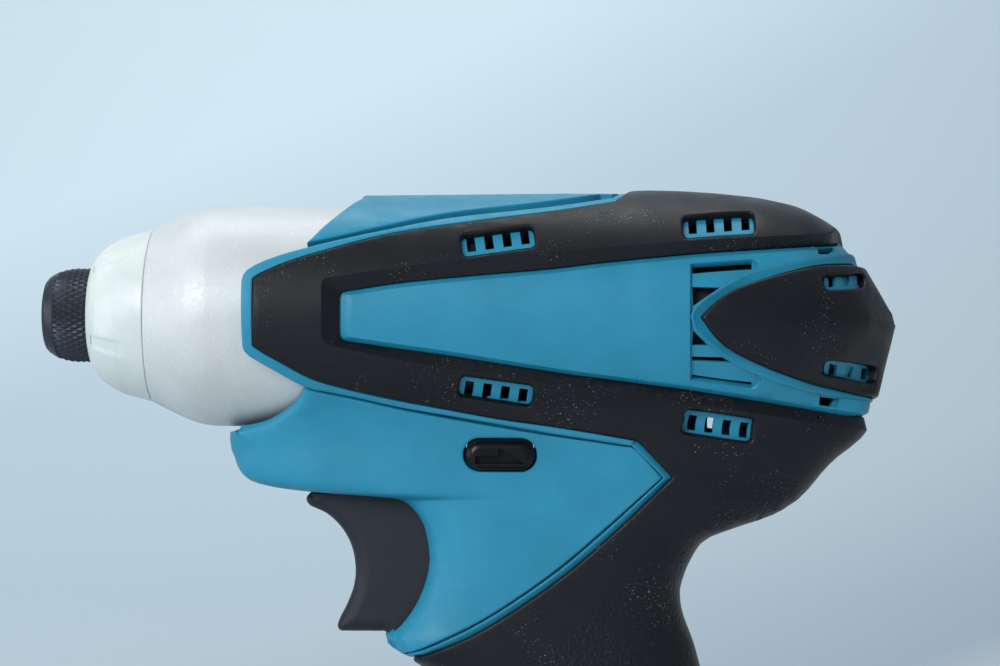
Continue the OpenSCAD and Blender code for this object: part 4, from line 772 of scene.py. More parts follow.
def chin_path():
    """Front middle line of the body, round the trigger's opening and down to the skin."""
    nose = body_end(np.arange(NOSE_TOP_Z, SLOT_TOP_Z, -0.4), False)
    chin = body_end(np.append(np.arange(SLOT_LOW_Z, CHIN_Z + 0.4, -0.8), CHIN_Z), False)
    return nose, slot_edge(), chin


def lower_panel_shells(screws):
    top = drawn(wrap_body, LOWER_TOP, PANEL_LIFT)
    rear = drawn(wrap_body, LOWER_REAR, PANEL_LIFT)
    nose, slot, chin = chin_path()
    outer = np.vstack([top, rear[1:], chin[::-1], slot[::-1], nose[::-1]])
    lip = drawn(wrap_body, LOWER_TOP[:1], PANEL_LIFT)
    rounds = [(np.vstack([top, rear]), HARD_R), (lip, NOSE_LIP), (slot, 0.6)]
    rounds += [(closed(h), HARD_R) for h in screws]
    main = panel(outer, wrap_body, PANEL_LIFT, PANEL_T, screws, rounds, 0.5, rows=NOSE_ROWS)
    out, inn = (np.vstack([drawn(wrap_body, runs, RIM_LIFT), body_end([z], False)])
                for runs, z in zip((STRIP_OUT, STRIP_IN), STRIP_CHIN_Z))
    strip = panel(np.vstack([out, inn[::-1]]), wrap_body, RIM_LIFT, STRIP_T, (), [(inn, 0.35)], 0.35,
                  shape=sloping(inn, out, STRIP_FALL))
    return [main, strip]


def foot_path():
    """Unrolled rim of the handle's foot, from its rear to its front."""
    front, rear = (body_end([SKIN_FOOT_Z], at_rear)[0] for at_rear in (False, True))
    return rear + np.linspace(0, 1, 40)[:, None] * (front - rear)


def skin_shells(screws):
    seam = drawn(wrap_body, [SEAM], SKIN_LIFT)
    crease = np.vstack([drawn(wrap_body, SKIN_CREASE, SKIN_LIFT), body_end([SKIN_TAIL_Z], True)])
    border = np.vstack([drawn(wrap_body, [PANEL_LOW_REAR], SKIN_LIFT - BEVEL_DROP),
                        body_end(PANEL_REAR_LOW_Z[:1], True)])
    edge = drawn(wrap_body, SKIN_EDGE, SKIN_LIFT)
    rear = body_end(np.arange(SKIN_TAIL_Z - 1.0, SKIN_FOOT_Z, -SKIN_STEP), True)
    up = np.arange(SKIN_FOOT_Z + SKIN_STEP, SKIN_CHIN_Z - 0.5, SKIN_STEP)
    front = body_end(np.append(up, SKIN_CHIN_Z), False)
    hole = on(wrap_body, window(GRIP_VENT), SKIN_LIFT)
    outer = np.vstack([seam, crease[1:], rear, foot_path(), front, edge[:-1]])
    rounds = [(np.vstack([front[-1:], edge]), SOFT_R), (closed(hole), WINDOW_R)]
    rounds += [(closed(h), 0.4) for h in screws]
    main = panel(outer, wrap_body, SKIN_LIFT, SKIN_T, [hole] + screws, rounds, SOFT_R)
    bevel = panel(np.vstack([crease, border[::-1]]), wrap_body, SKIN_LIFT, BEVEL_T,
                  shape=sloping(crease, border, BEVEL_DROP), round_r=0)
    return [main, bevel]


def core_shell(screws):
    """Hard wall under the lower panel and the skin."""
    nose, slot, chin = chin_path()
    rear = body_end(np.arange(CORE_TAIL_Z, SKIN_FOOT_Z, -SKIN_STEP), True)
    front = body_end(np.arange(SKIN_FOOT_Z + SKIN_STEP, CHIN_Z, SKIN_STEP), False)
    top = drawn(wrap_body, CORE_TOP, CORE_LIFT)
    outer = np.vstack([top, rear, foot_path(), front, chin[::-1], slot[::-1], nose[1:][::-1]])
    return panel(outer, wrap_body, CORE_LIFT, CORE_T, screws, round_r=0)


# ---------------------------------------------------------------- finishes
def srgb(r, g, b):
    """A colour read off a screen, as the shader's own linear colour."""
    parts = [c / 255 for c in (r, g, b)]
    return tuple(c / 12.92 if c < 0.04045 else ((c + 0.055) / 1.055) ** 2.4 for c in parts) + (1,)


# Noise mostly lies between these two values
GRAIN_LOW, GRAIN_HIGH = 0.3, 0.7
# Colour sockets of the Mix node
MIX_A, MIX_B, MIX_RESULT = 6, 7, 2


class Finish:
    """A material under construction, with its patterns fixed to the part's own coordinates."""

    def __init__(self, name, roughness, metallic=0.0, specular=0.5):
        self.material = bpy.data.materials.new(name)
        self.material.use_nodes = True
        self.tree = self.material.node_tree
        self.shader = self.tree.nodes["Principled BSDF"].inputs
        self.shader["Roughness"].default_value = roughness
        self.shader["Metallic"].default_value = metallic
        self.shader["Specular IOR Level"].default_value = specular
        self.coords = self.tree.nodes.new("ShaderNodeTexCoord").outputs["Object"]
        self.normal = None

    def node(self, kind, inputs, **settings):
        """A shader node, with each input linked to an output or set to a constant."""
        made = self.tree.nodes.new(kind)
        for key, value in settings.items():
            setattr(made, key, value)
        for key, value in inputs.items():
            if hasattr(value, "is_output"):
                self.tree.links.new(value, made.inputs[key])
            else:
                made.inputs[key].default_value = value
        return made

    def grain(self, size_mm, detail=2.0, stretch=(1, 1, 1)):
        """Soft random grain with features of about the given size."""
        scale = [s / (size_mm * MM) for s in stretch]
        squeezed = self.node("ShaderNodeMapping", {"Vector": self.coords, "Scale": scale}).outputs["Vector"]
        return self.node("ShaderNodeTexNoise", {"Vector": squeezed, "Scale": 1, "Detail": detail}).outputs["Fac"]

    def pebbles(self, size_mm):
        """Rounded cells, like leather grain."""
        inputs = {"Vector": self.coords, "Scale": 1 / (size_mm * MM), "Smoothness": 0.25}
        return self.node("ShaderNodeTexVoronoi", inputs, feature="SMOOTH_F1").outputs["Distance"]

    def ramp(self, fac, stops):
        made = self.node("ShaderNodeValToRGB", {"Fac": fac})
        elements = made.color_ramp.elements
        elements[0].position, elements[0].color = stops[0]
        elements[1].position, elements[1].color = stops[-1]
        for at, color in stops[1:-1]:
            elements.new(at).color = color
        return made.outputs["Color"]

    def ranged(self, fac, low, high, start=0.0, end=1.0):
        inputs = {"Value": fac, "From Min": start, "From Max": end, "To Min": low, "To Max": high}
        return self.node("ShaderNodeMapRange", inputs).outputs["Result"]

    def cloud(self, size_mm, detail, low, high, stretch=(1, 1, 1)):
        """Soft clouds between two colours."""
        return self.ramp(self.grain(size_mm, detail, stretch), [(GRAIN_LOW, low), (GRAIN_HIGH, high)])

    def times(self, a, b):
        return self.node("ShaderNodeMath", {0: a, 1: b}, operation="MULTIPLY").outputs["Value"]

    def mixed(self, fac, a, b):
        mix = self.node("ShaderNodeMix", {"Factor": fac, MIX_A: a, MIX_B: b}, data_type="RGBA")
        return mix.outputs[MIX_RESULT]

    def beyond(self, slope, start, soft):
        """Nought on one side of a slanted plane and one on the other; lengths in millimetres."""
        along = self.node("ShaderNodeVectorMath", {0: self.coords, 1: slope}, operation="DOT_PRODUCT")
        low = Vector(slope).dot((TIP_X, 0, AXIS_Z)) + start * MM
        return self.ranged(along.outputs["Value"], 0, 1, low, low + soft * MM)

    def color(self, output):
        self.tree.links.new(output, self.shader["Base Color"])

    def rough(self, output):
        self.tree.links.new(output, self.shader["Roughness"])

    def uneven_gloss(self, size_mm, detail, low, high, stretch=(1, 1, 1)):
        self.rough(self.ranged(self.grain(size_mm, detail, stretch), low, high, GRAIN_LOW, GRAIN_HIGH))

    def bump(self, height, strength, depth_mm):
        """Fine relief, on top of any given before."""
        inputs = {"Height": height, "Strength": strength, "Distance": depth_mm * MM}
        if self.normal is not None:
            inputs["Normal"] = self.normal
        self.normal = self.node("ShaderNodeBump", inputs).outputs["Normal"]
        self.tree.links.new(self.normal, self.shader["Normal"])


def shade(color, factor):
    return tuple(min(1, c * factor) for c in color[:3]) + (1,)


MOULD_CLOUD = 0.07


def moulded(name, color, roughness, pit_mm=0.28, specular=0.5):
    """Moulded plastic: slight cloudiness, fine spark-eroded texture and uneven gloss."""
    f = Finish(name, roughness, specular=specular)
    f.color(f.cloud(9, 3, shade(color, 1 - MOULD_CLOUD), shade(color, 1 + MOULD_CLOUD)))
    f.uneven_gloss(3, 3, roughness - 0.06, roughness + 0.08)
    f.bump(f.grain(pit_mm, 1), 0.25, 0.02)
    return f.material


def rubber(name, color):
    """Soft black rubber: fine texture, specks of dust, and leather grain low on the handle."""
    f = Finish(name, 0.46, specular=0.24)
    cloud = f.cloud(14, 3, shade(color, 0.85), shade(color, 1.15))
    dust = f.ranged(f.grain(0.28, 0), 0, 0.55, 0.75, 0.81)
    dirt = f.times(dust, f.ranged(f.grain(9, 2), 0.05, 1, 0.48, 0.68))
    f.color(f.mixed(dirt, cloud, srgb(176, 166, 156)))
    f.uneven_gloss(5, 3, 0.4, 0.52)
    f.bump(f.grain(0.3, 1), 0.3, 0.03)
    handle = f.times(f.beyond((1, 0, -1.07), 155.2, 1.0), f.beyond((0, 0, -1), 27.5, 1.0))
    f.bump(f.times(f.ranged(f.pebbles(0.7), -0.5, 0.5), handle), 0.6, 0.2)
    return f.material


def metal(name, color, roughness, streak=(1, 1, 1), scratch_mm=0.6, metallic=1.0, depth=0.01):
    """Turned or plated metal, with scratches drawn out along one way."""
    f = Finish(name, roughness, metallic)
    f.color(f.cloud(6, 4, shade(color, 0.9), shade(color, 1.08), streak))
    f.uneven_gloss(scratch_mm, 3, roughness - 0.08, roughness + 0.1, streak)
    f.bump(f.grain(scratch_mm, 2, streak), 0.25, depth)
    return f.material


def cast_case():
    """Silver-coated casting with a fine sparkle."""
    f = Finish("silver_case", 0.48, 0.2)
    base = f.cloud(12, 3, srgb(187, 194, 196), srgb(198, 205, 207))
    sparkle = f.ranged(f.grain(0.22, 1), 0, 0.5, 0.62, 0.75)
    f.color(f.mixed(sparkle, base, srgb(245, 250, 252)))
    f.uneven_gloss(0.5, 2, 0.42, 0.56)
    f.bump(f.grain(0.35, 2), 0.35, 0.03)
    return f.material


def milky():
    """Milky soft rubber that lets a little light through."""
    f = Finish("milky_rubber", 0.35)
    f.color(f.cloud(7, 3, srgb(194, 204, 203), srgb(205, 214, 213)))
    f.shader["Subsurface Weight"].default_value = 0.35
    f.shader["Subsurface Radius"].default_value = (0.002, 0.002, 0.002)
    f.uneven_gloss(4, 3, 0.3, 0.44)
    f.bump(f.grain(0.8, 2), 0.2, 0.02)
    return f.material


def clear_lens():
    f = Finish("clear_lens", 0.08)
    f.color(f.cloud(3, 2, srgb(226, 234, 238), srgb(244, 248, 250)))
    f.shader["Transmission Weight"].default_value = 0.6
    f.bump(f.grain(1.2, 1), 0.1, 0.02)
    return f.material


def circuit_board():
    f = Finish("circuit_board", 0.4)
    tracks = f.grain(1.1, 0, (1, 0.2, 1))
    f.color(f.ramp(tracks, [(0.46, srgb(20, 84, 46)), (0.5, srgb(38, 116, 66)), (0.56, srgb(20, 84, 46))]))
    f.uneven_gloss(2, 2, 0.32, 0.5)
    return f.material


def wrapped_cell():
    f = Finish("cell_wrap", 0.35)
    f.color(f.cloud(10, 3, srgb(48, 92, 146), srgb(60, 108, 164)))
    f.uneven_gloss(3, 2, 0.28, 0.42)
    f.bump(f.grain(2.5, 2), 0.2, 0.05)
    return f.material


ACROSS = (1, 0.15, 1)
FINISHES = {
    "shell_teal": moulded("teal_plastic", srgb(33, 129, 161), 0.44, specular=0.32),
    "soft_skin": rubber("black_rubber", srgb(11, 16, 23)),
    "bare_case": cast_case(),
    "bumper_rubber": milky(),
    "black_steel": metal("blackened_steel", srgb(52, 58, 68), 0.4, metallic=0.7),
    "steel": metal("machined_steel", srgb(150, 153, 158), 0.38, ACROSS),
    "bright_steel": metal("polished_steel", srgb(205, 207, 211), 0.2, ACROSS),
    "bronze": metal("sintered_bronze", srgb(178, 134, 78), 0.5, scratch_mm=0.3, depth=0.03),
    "dark_plastic": moulded("dark_plastic", srgb(27, 32, 42), 0.48, specular=0.3),
    "white_plastic": moulded("white_plastic", srgb(214, 214, 204), 0.45),
    "magnet": metal("dark_magnet", srgb(92, 94, 98), 0.6, scratch_mm=0.4, metallic=0.6, depth=0.03),
    "copper": metal("enamelled_copper", srgb(186, 108, 60), 0.3, ACROSS),
    "carbon": moulded("pressed_carbon", srgb(40, 40, 42), 0.7, pit_mm=0.15),
    "lens": clear_lens(),
    "board": circuit_board(),
    "cell": wrapped_cell(),
    "black_gloss": moulded("glossy_black", srgb(6, 7, 10), 0.3, pit_mm=0.6, specular=0.22),
    "dark_can": metal("phosphated_steel", srgb(46, 48, 52), 0.6, metallic=0.5),
}


# ---------------------------------------------------------------- turned pieces on the spindle
def softened_corners(corners, steps=4):
    """A closed run of points from corners given as (x, radius, rounding)."""
    out = []
    for k, (x, r, soft) in enumerate(corners):
        here = np.array([x, r])
        if not soft:
            out.append(here)
            continue
        ends = []
        for other in (corners[k - 1], corners[(k + 1) % len(corners)]):
            away = np.array(other[:2]) - here
            ends.append(here + away / np.linalg.norm(away) * min(soft, np.linalg.norm(away) * 0.45))
        for t in np.linspace(0, 1, steps + 1):
            out.append((1 - t) ** 2 * ends[0] + 2 * t * (1 - t) * here + t * t * ends[1])
    return out


def spun(profile, steps=144, height=0.0):
    """A closed solid turned about a line along the tool, from a closed run of (x, radius)."""
    bm = bmesh.new()
    loop_of(bm, [(x, 0, r) for x, r in profile])
    bmesh.ops.spin(bm, geom=everything(bm), cent=(0, 0, 0), axis=(1, 0, 0), angle=2 * math.pi, steps=steps,
                   use_merge=True)
    return moved(facing_out(bm), (0, 0, height))


def sink(v, depth):
    """Moves a point of a turned piece towards the spindle."""
    r = math.hypot(v.co.y, v.co.z)
    v.co.y, v.co.z = v.co.y * (1 - depth / r), v.co.z * (1 - depth / r)


CASE_R, NOSE_R, BUMPER_R, NOSE_X, BUMPER_END, CASE_END = 20.1, 12.4, 15.8, 15.7, 19.9, 74.45
WALL_X, CASE_BORE_R, BUSH_R = 25.9, 17.7, 9.27
SHOULDER = [(0.0, 0.0), (0.12, 0.16), (0.25, 0.33), (0.4, 0.53), (0.55, 0.71), (0.7, 0.86), (0.84, 0.95), (1, 1)]
SHOULDER_LEN = 11.4
BUMPER_X, LIP_R = 8.7, 9.2
BUMPER_CURVE = [(0.0, 0.0), (0.03, 0.12), (0.1, 0.3), (0.19, 0.46), (0.33, 0.62), (0.5, 0.77), (0.74, 0.89),
                (1, 1)]
SLEEVE_X, SLEEVE_END, SLEEVE_R, SLEEVE_BORE_R, CHAMBER_R, CHAMBER_LEN = 1.7, 15.4, 8.6, 6.05, 7.325, 7.4
SLEEVE_NOSE = [(0.25, 6.15), (0.32, 6.35), (0.65, 6.72), (1.1, 7.1), (1.7, 7.52), (2.4, 7.88), (3.3, 8.22),
               (4.3, 8.47), (5.4, SLEEVE_R)]
LIP_X, LIP_BORE_R = 0.93, 6.12
KNURL_X, KNURL_END, KNURL_ROWS, KNURL_TURNS, KNURL_H = 2.65, 14.2, 12, 96, 0.32
NOTCH_TURN, NOTCH_STEP, NOTCH_HALF, NOTCH_DEEP = -24, 72, 5, 0.35
NOTCH_FROM, NOTCH_TO = BUMPER_X + 1.2, BUMPER_X + 6.6


def hammer_case_shell():
    outer = [(NOSE_X, NOSE_R, 0), (BUMPER_END, NOSE_R, 0)]
    low = BUMPER_R + 0.1
    outer += [(BUMPER_END + a * SHOULDER_LEN, low + b * (CASE_R - BUMPER_R - 0.1), 0.5) for a, b in SHOULDER]
    outer += [(CASE_END, CASE_R, 0.3), (CASE_END, CASE_BORE_R, 0.2), (WALL_X, CASE_BORE_R, 0.4),
              (WALL_X, BUSH_R, 0), (NOSE_X, BUSH_R, 0)]
    return place(spun(softened_corners(outer)))


def bumper_shell():
    length, rise = BUMPER_END - BUMPER_X, BUMPER_R - LIP_R
    outer = [(BUMPER_X + a * length, LIP_R + b * rise, 0.4) for a, b in BUMPER_CURVE]
    inner = [(BUMPER_END, NOSE_R + 0.02, 0), (NOSE_X, NOSE_R + 0.02, 0.3), (NOSE_X, LIP_R - 0.3, 0.3),
             (BUMPER_X, LIP_R - 0.3, 0.1)]
    bm = spun(softened_corners(outer + inner), 180)
    for v in bm.verts:
        turn = math.degrees(math.atan2(v.co.z, -v.co.y)) - NOTCH_TURN
        off = abs((turn + NOTCH_STEP / 2) % NOTCH_STEP - NOTCH_STEP / 2)
        outer_face = math.hypot(v.co.y, v.co.z) > LIP_R + 0.5
        if off < NOTCH_HALF and NOTCH_FROM < v.co.x < NOTCH_TO and outer_face:
            sink(v, NOTCH_DEEP)
    return place(bm)


def sleeve_shell():
    """Domed sleeve with a diamond knurl: every other crossing of a grid is sunk."""
    rows = np.linspace(KNURL_X, KNURL_END, KNURL_ROWS)
    tip = [(x, r) for x, r in SLEEVE_NOSE if x < KNURL_X - 0.2]
    knurl = [(x, np.interp(x, *np.array(SLEEVE_NOSE).T)) for x in rows]
    rear = [(SLEEVE_END, SLEEVE_R - 0.2), (SLEEVE_END, SLEEVE_BORE_R), (SLEEVE_X + CHAMBER_LEN, SLEEVE_BORE_R),
            (SLEEVE_X + CHAMBER_LEN, CHAMBER_R + 0.05), (SLEEVE_X + 0.05, CHAMBER_R + 0.05),
            (SLEEVE_X + 0.05, CHAMBER_R - 0.27), (LIP_X, CHAMBER_R - 0.27), (LIP_X, LIP_BORE_R),
            (SLEEVE_NOSE[0][0], LIP_BORE_R)]
    bm = spun(tip + knurl + rear, KNURL_TURNS)
    pitch = rows[1] - rows[0]
    sunk = []
    for v in bm.verts:
        row, r = (v.co.x - KNURL_X) / pitch, math.hypot(v.co.y, v.co.z)
        turn = math.atan2(v.co.z, v.co.y) / (2 * math.pi) * KNURL_TURNS
        if abs(row - round(row)) < 0.01 and r > CHAMBER_R + 0.4 and (round(row) + round(turn)) % 2:
            sink(v, KNURL_H)
            sunk.append(v)
    bmesh.ops.connect_verts(bm, verts=sunk)
    return place(bm)


LENS_X, LENS_Z, LENS_R, LENS_LEN = 36.41, -24.9, 3.0, 4.8


def lens_shell():
    dome = [(LENS_X, 0.0, 0), (LENS_X + 0.15, LENS_R * 0.55, 0.4), (LENS_X + 0.7, LENS_R - 0.1, 0.5),
            (LENS_X + LENS_LEN, LENS_R - 0.05, 0), (LENS_X + LENS_LEN, 0.0, 0)]
    return place(spun(softened_corners(dome), 64, LENS_Z))


# ---------------------------------------------------------------- trigger and reversing lever
TRIGGER_HALF, TRIGGER_ROUND, TRIGGER_INSET = 7.0, 2.6, 0.9
TRIGGER_FRONT = [[(311, 494), (307.5, 499), (311, 506), (328, 514), (343, 528), (353, 546), (357, 566), (356, 584),
                  (350, 602), (342, 618), (339.5, 627), (344, 633)], [(344, 633), (365, 633), (386, 631)]]
TRIGGER_REAR_X, TRIGGER_TOP_Z, TRIGGER_FOOT_Z = 73.0, -31.9, -56.9
LEVER_X, LEVER_Z, LEVER_L, LEVER_H, LEVER_HALF = 83.14, -24.28, 12.4, 5.4, 16.8
LEVER_RECESS, LEVER_GAP = 1.7, 0.25
ARROW = [(-4.4, -0.1), (-0.35, -0.1), (-0.35, 1.4), (4.4, -1.5), (-4.4, -1.5)]


def at_depth(pixels, y):
    """Side-view points of an upright plane that show at pixels of the photograph's frame."""
    grow = VIEW_MM_PER_PX * (VIEW_DISTANCE + y) / VIEW_DISTANCE
    px = np.asarray(pixels, float)
    return np.stack([VIEW_X + (px[:, 0] - FRAME_W / 2) * grow, VIEW_Z + (FRAME_H / 2 - px[:, 1]) * grow], 1)


def upright_plate(outer, y_top, depth, rounds=(), round_r=0.4, holes=(), cell=1.2):
    """A closed plate standing along the tool, rounded on its left face."""
    bm = flat_panel(spread(outer, cell), [spread(h, cell) for h in holes], depth, round_r)
    cut_grid(bm, cell)
    co = np.array([v.co for v in bm.verts])
    for v, d in zip(bm.verts, edge_drop(co[:, [0, 2]], co[:, 1] < depth / 2, rounds)):
        v.co.y += y_top + d
    return bm


def both_sides(bm):
    """Closes a left half, whose flat side lies on the middle plane, with its mirror image."""
    flat = [f for f in bm.faces if all(abs(v.co.y) < 1e-6 for v in f.verts)]
    bmesh.ops.delete(bm, geom=flat, context="FACES_ONLY")
    bmesh.ops.mirror(bm, geom=everything(bm), merge_dist=1e-5, axis="Y")
    return facing_out(bm)


def trigger_shell():
    front = np.vstack([at_depth(smooth_run(run), -4) for run in TRIGGER_FRONT])
    front[:, 1] = np.clip(front[:, 1], TRIGGER_FOOT_Z, TRIGGER_TOP_Z)
    back = np.array([(TRIGGER_REAR_X, TRIGGER_FOOT_Z), (TRIGGER_REAR_X, TRIGGER_TOP_Z)])
    outer = np.vstack([front, back])
    half = upright_plate(outer, -TRIGGER_HALF, TRIGGER_HALF, [(front, TRIGGER_ROUND)], TRIGGER_INSET, cell=0.6)
    return place(both_sides(half))


def lever_shells():
    """Both ends of the lever, each with a sunk arrow, and the bar between them."""
    middle = np.array([LEVER_X, LEVER_Z])
    pill = oblong((0, 0), (LEVER_L, LEVER_H), 0, LEVER_H / 2 - 0.01, 10) * [1, -1] + middle
    shells = []
    for side in (-1, 1):
        arrow = np.array(ARROW) * [-side, 1] + middle
        cap = upright_plate(pill, -LEVER_HALF, LEVER_RECESS, [(closed(pill), LEVER_RECESS)], 0.2, [arrow], 0.35)
        shells.append(place(mirrored(cap) if side > 0 else cap))
    bar = upright_plate(pill, LEVER_RECESS - LEVER_HALF, LEVER_HALF - LEVER_RECESS, (), 0)
    return shells + [place(both_sides(bar))]


# ---------------------------------------------------------------- holes for the lever and the screws
SCREW_HOLE_R, TAIL_HOLE_R, SCREW_SEAT_Y, TAIL_WELL_T = 3.1, 2.88, 5.2, 0.22
PANEL_SCREWS, SKIN_SCREWS = [(50.52, -26.13), (64.98, -25.1)], [(116.46, -30.23), (132.65, -25.61)]
TAIL_SCREWS = [(144.22, 1.54), (144.79, -5.28)]


def side_point(x, z):
    """Points of the left side across from the middle plane."""
    start = np.stack([x, np.zeros(len(x)), z], 1)
    return reach_surface(start, np.tile([0.0, -1.0, 0.0], (len(x), 1)), 0.5, 40)


def screw_ring(spot, r=SCREW_HOLE_R, unwrap=unwrap_body):
    a = np.linspace(0, 2 * math.pi, 25)[:-1]
    return unwrap(side_point(spot[0] + r * np.cos(a), spot[1] + r * np.sin(a)))


def lever_hole():
    """Unrolled outline of the hole that the lever slides through."""
    size = (LEVER_L + 2 * LEVER_GAP, LEVER_H + 2 * LEVER_GAP)
    pill = oblong((0, 0), size, 0, LEVER_H / 2 + 0.2, 10) * [1, -1] + [LEVER_X, LEVER_Z]
    return unwrap_body(side_point(pill[:, 0], pill[:, 1]))


def screw_well(spot, r=SCREW_HOLE_R, thick=0.8):
    """Tube from a screw's seat up to the surface, on the left like the panels."""
    depth = -side_point(np.array([spot[0]]), np.array([spot[1]]))[0, 1] - 0.3
    wall = [(SCREW_SEAT_Y, r + 0.02), (depth, r + 0.02), (depth, r + thick), (SCREW_SEAT_Y, r + thick)]
    well = turned(spun(wall, 48), Matrix.Rotation(-math.pi / 2, 3, "Z"))
    return place(moved(well, (spot[0], 0, spot[1])))


# ---------------------------------------------------------------- battery
SIDES = (("left", -1), ("right", 1))
FOOT_X, FOOT_HALF_L, FOOT_HALF_W, FOOT_CORNER = 100.551, 37.0, 27.0, 10.8
FOOT_TOP_Z, SPLIT_Z, FOOT_LOW_Z, FOOT_WALL = -125.0, -143.0, -155.0, 2.0
LID_EDGE = [(9, 0), (4.2, 0), (2.4, -0.2), (1.0, -0.9), (0.25, -2.1), (0, -3.6)]
BASE_EDGE = [(0, 3.6), (0.3, 2.0), (1.1, 0.9), (2.4, 0.15), (3.4, 0), (5.6, 0), (6.0, 0.4), (6.0, 1.8)]
SPLIT_SOFT, SPLIT_GAP, FLOOR_INSET, FLOOR_UP, FLOOR_T = 0.45, 0.03, 5.8, 0.6, 1.4
SCREW_AT, SCREW_WELL_R = (26.2, 16.2), 3.1
TOWER_HALF_L, TOWER_R, TOWER_TOP, TOWER_LOW, TOWER_WALL = 19.94, 10.72, -4.4, -68.0, 1.5
TOWER_EDGE = [(0, -2.2), (0.25, -1.0), (0.8, -0.25), (1.5, 0)]
BLADE_Y, BLADE_SLOT = 8.096, (3.8, 1.4)
BUTTON_Z, BUTTON_L, BUTTON_H, BUTTON_FACE_Y, BUTTON_GAP = -133.2, 24.0, 10.0, 27.4, 0.3
BUTTON_T, BUTTON_SOFT, FLANGE_OVER, FLANGE_T, FLANGE_Y = 3.8, 0.8, 3.2, 1.2, 24.35
BUTTON_RIBS, RIB_PITCH, RIB_W, RIB_T, RIB_SHORT = 6, 3.3, 1.3, 1.4, 2.6


def walled(profile, half_l, half_w, corner, capped):
    """A closed wall: a rounded outline swept through (inset, height), open or capped at its ends."""
    bm = bmesh.new()
    loops = []
    for inset, z in profile:
        size = (2 * (half_l - inset), 2 * (half_w - inset))
        outline = oblong((0, 0), size, 0, max(corner - inset, 0.5), 10)
        loops.append(loop_of(bm, [(x, y, z) for x, y in outline]))
    for a, b in zip(loops, loops[1:] if capped else loops[1:] + loops[:1]):
        bmesh.ops.bridge_loops(bm, edges=a + b)
    if capped:
        bmesh.ops.edgeloop_fill(bm, edges=loops[0])
        bmesh.ops.edgeloop_fill(bm, edges=loops[-1])
    return facing_out(bm)


def laid_plate(outer, holes, depth, z, up):
    """A level plate with holes whose outer face, at height z, looks up or down."""
    quarter = Matrix.Rotation(math.pi / 2 * (-1 if up else 1), 3, "X")
    return moved(turned(flat_panel(outer, holes, depth, 0), quarter), (0, 0, z))


def cut_button_windows(bm):
    """Openings for the release buttons in both long walls of the lid."""
    half_l, half_h = BUTTON_L / 2 + BUTTON_GAP, BUTTON_H / 2 + BUTTON_GAP
    cuts = [((half_l, 0, 0), (1, 0, 0)), ((-half_l, 0, 0), (1, 0, 0)),
            ((0, 0, BUTTON_Z + half_h), (0, 0, 1)), ((0, 0, BUTTON_Z - half_h), (0, 0, 1))]
    for at, normal in cuts:
        bmesh.ops.bisect_plane(bm, geom=everything(bm), dist=1e-5, plane_co=at, plane_no=normal)
    inside = []
    for f in bm.faces:
        c = f.calc_center_median()
        if abs(c.x) < half_l and abs(c.z - BUTTON_Z) < half_h and abs(c.y) > FOOT_HALF_W - FOOT_WALL - 0.5:
            inside.append(f)
    bmesh.ops.delete(bm, geom=inside, context="FACES")
    for side in (-1, 1):
        bmesh.ops.bridge_loops(bm, edges=[e for e in bm.edges if e.is_boundary and e.verts[0].co.y * side > 0])
    facing_out(bm)


def at_foot(bm):
    return place(moved(bm, (FOOT_X, 0, 0)))


def battery_lid_shells():
    """Upper half of the foot, and the tower that plugs into the handle."""
    outer = [(inset, FOOT_TOP_Z + z) for inset, z in LID_EDGE]
    outer += [(0, SPLIT_Z + SPLIT_SOFT), (SPLIT_SOFT, SPLIT_Z + SPLIT_GAP), (FOOT_WALL, SPLIT_Z + SPLIT_GAP),
              (FOOT_WALL, FOOT_TOP_Z - 3.6)]
    lid = walled(outer, FOOT_HALF_L, FOOT_HALF_W, FOOT_CORNER, True)
    cut_button_windows(lid)
    wall = [(0, TOWER_LOW)] + [(inset, TOWER_TOP + z) for inset, z in TOWER_EDGE]
    wall += [(TOWER_WALL, TOWER_TOP - TOWER_WALL), (TOWER_WALL, TOWER_LOW)]
    tower = walled(wall, TOWER_HALF_L, TOWER_R, TOWER_R - 0.01, False)
    top = oblong((0, 0), (2 * (TOWER_HALF_L - 1.4), 2 * (TOWER_R - 1.4)), 0, TOWER_R - 1.41, 10)
    slots = [oblong((0, s * BLADE_Y), BLADE_SLOT, 0, 0.3) for s in (-1, 1)]
    plate = laid_plate(top, slots, TOWER_WALL, TOWER_TOP, True)
    tilt = Matrix.Rotation(-GRIP_TILT, 3, "Y")
    return [at_foot(lid)] + [place(moved(turned(bm, tilt), (GRIP_X, 0, GRIP_Z))) for bm in (tower, plate)]


def battery_base_shells():
    """Lower half of the foot with its sunk floor and screw wells."""
    wall = [(SPLIT_SOFT, SPLIT_Z - SPLIT_GAP), (0, SPLIT_Z - SPLIT_SOFT)]
    wall += [(inset, FOOT_LOW_Z + z) for inset, z in BASE_EDGE]
    wall += [(FOOT_WALL, FOOT_LOW_Z + 3.6), (FOOT_WALL, SPLIT_Z - SPLIT_GAP)]
    ring = walled(wall, FOOT_HALF_L, FOOT_HALF_W, FOOT_CORNER, False)
    size = (2 * (FOOT_HALF_L - FLOOR_INSET), 2 * (FOOT_HALF_W - FLOOR_INSET))
    round_size = (2 * SCREW_WELL_R, 2 * SCREW_WELL_R)
    wells = [oblong((a * SCREW_AT[0], b * SCREW_AT[1]), round_size, 0, SCREW_WELL_R - 0.01, 7)
             for a in (-1, 1) for b in (-1, 1)]
    outline = oblong((0, 0), size, 0, FOOT_CORNER - FLOOR_INSET, 10)
    floor = laid_plate(outline, wells, FLOOR_T, FOOT_LOW_Z + FLOOR_UP, False)
    return [at_foot(ring), at_foot(floor)]


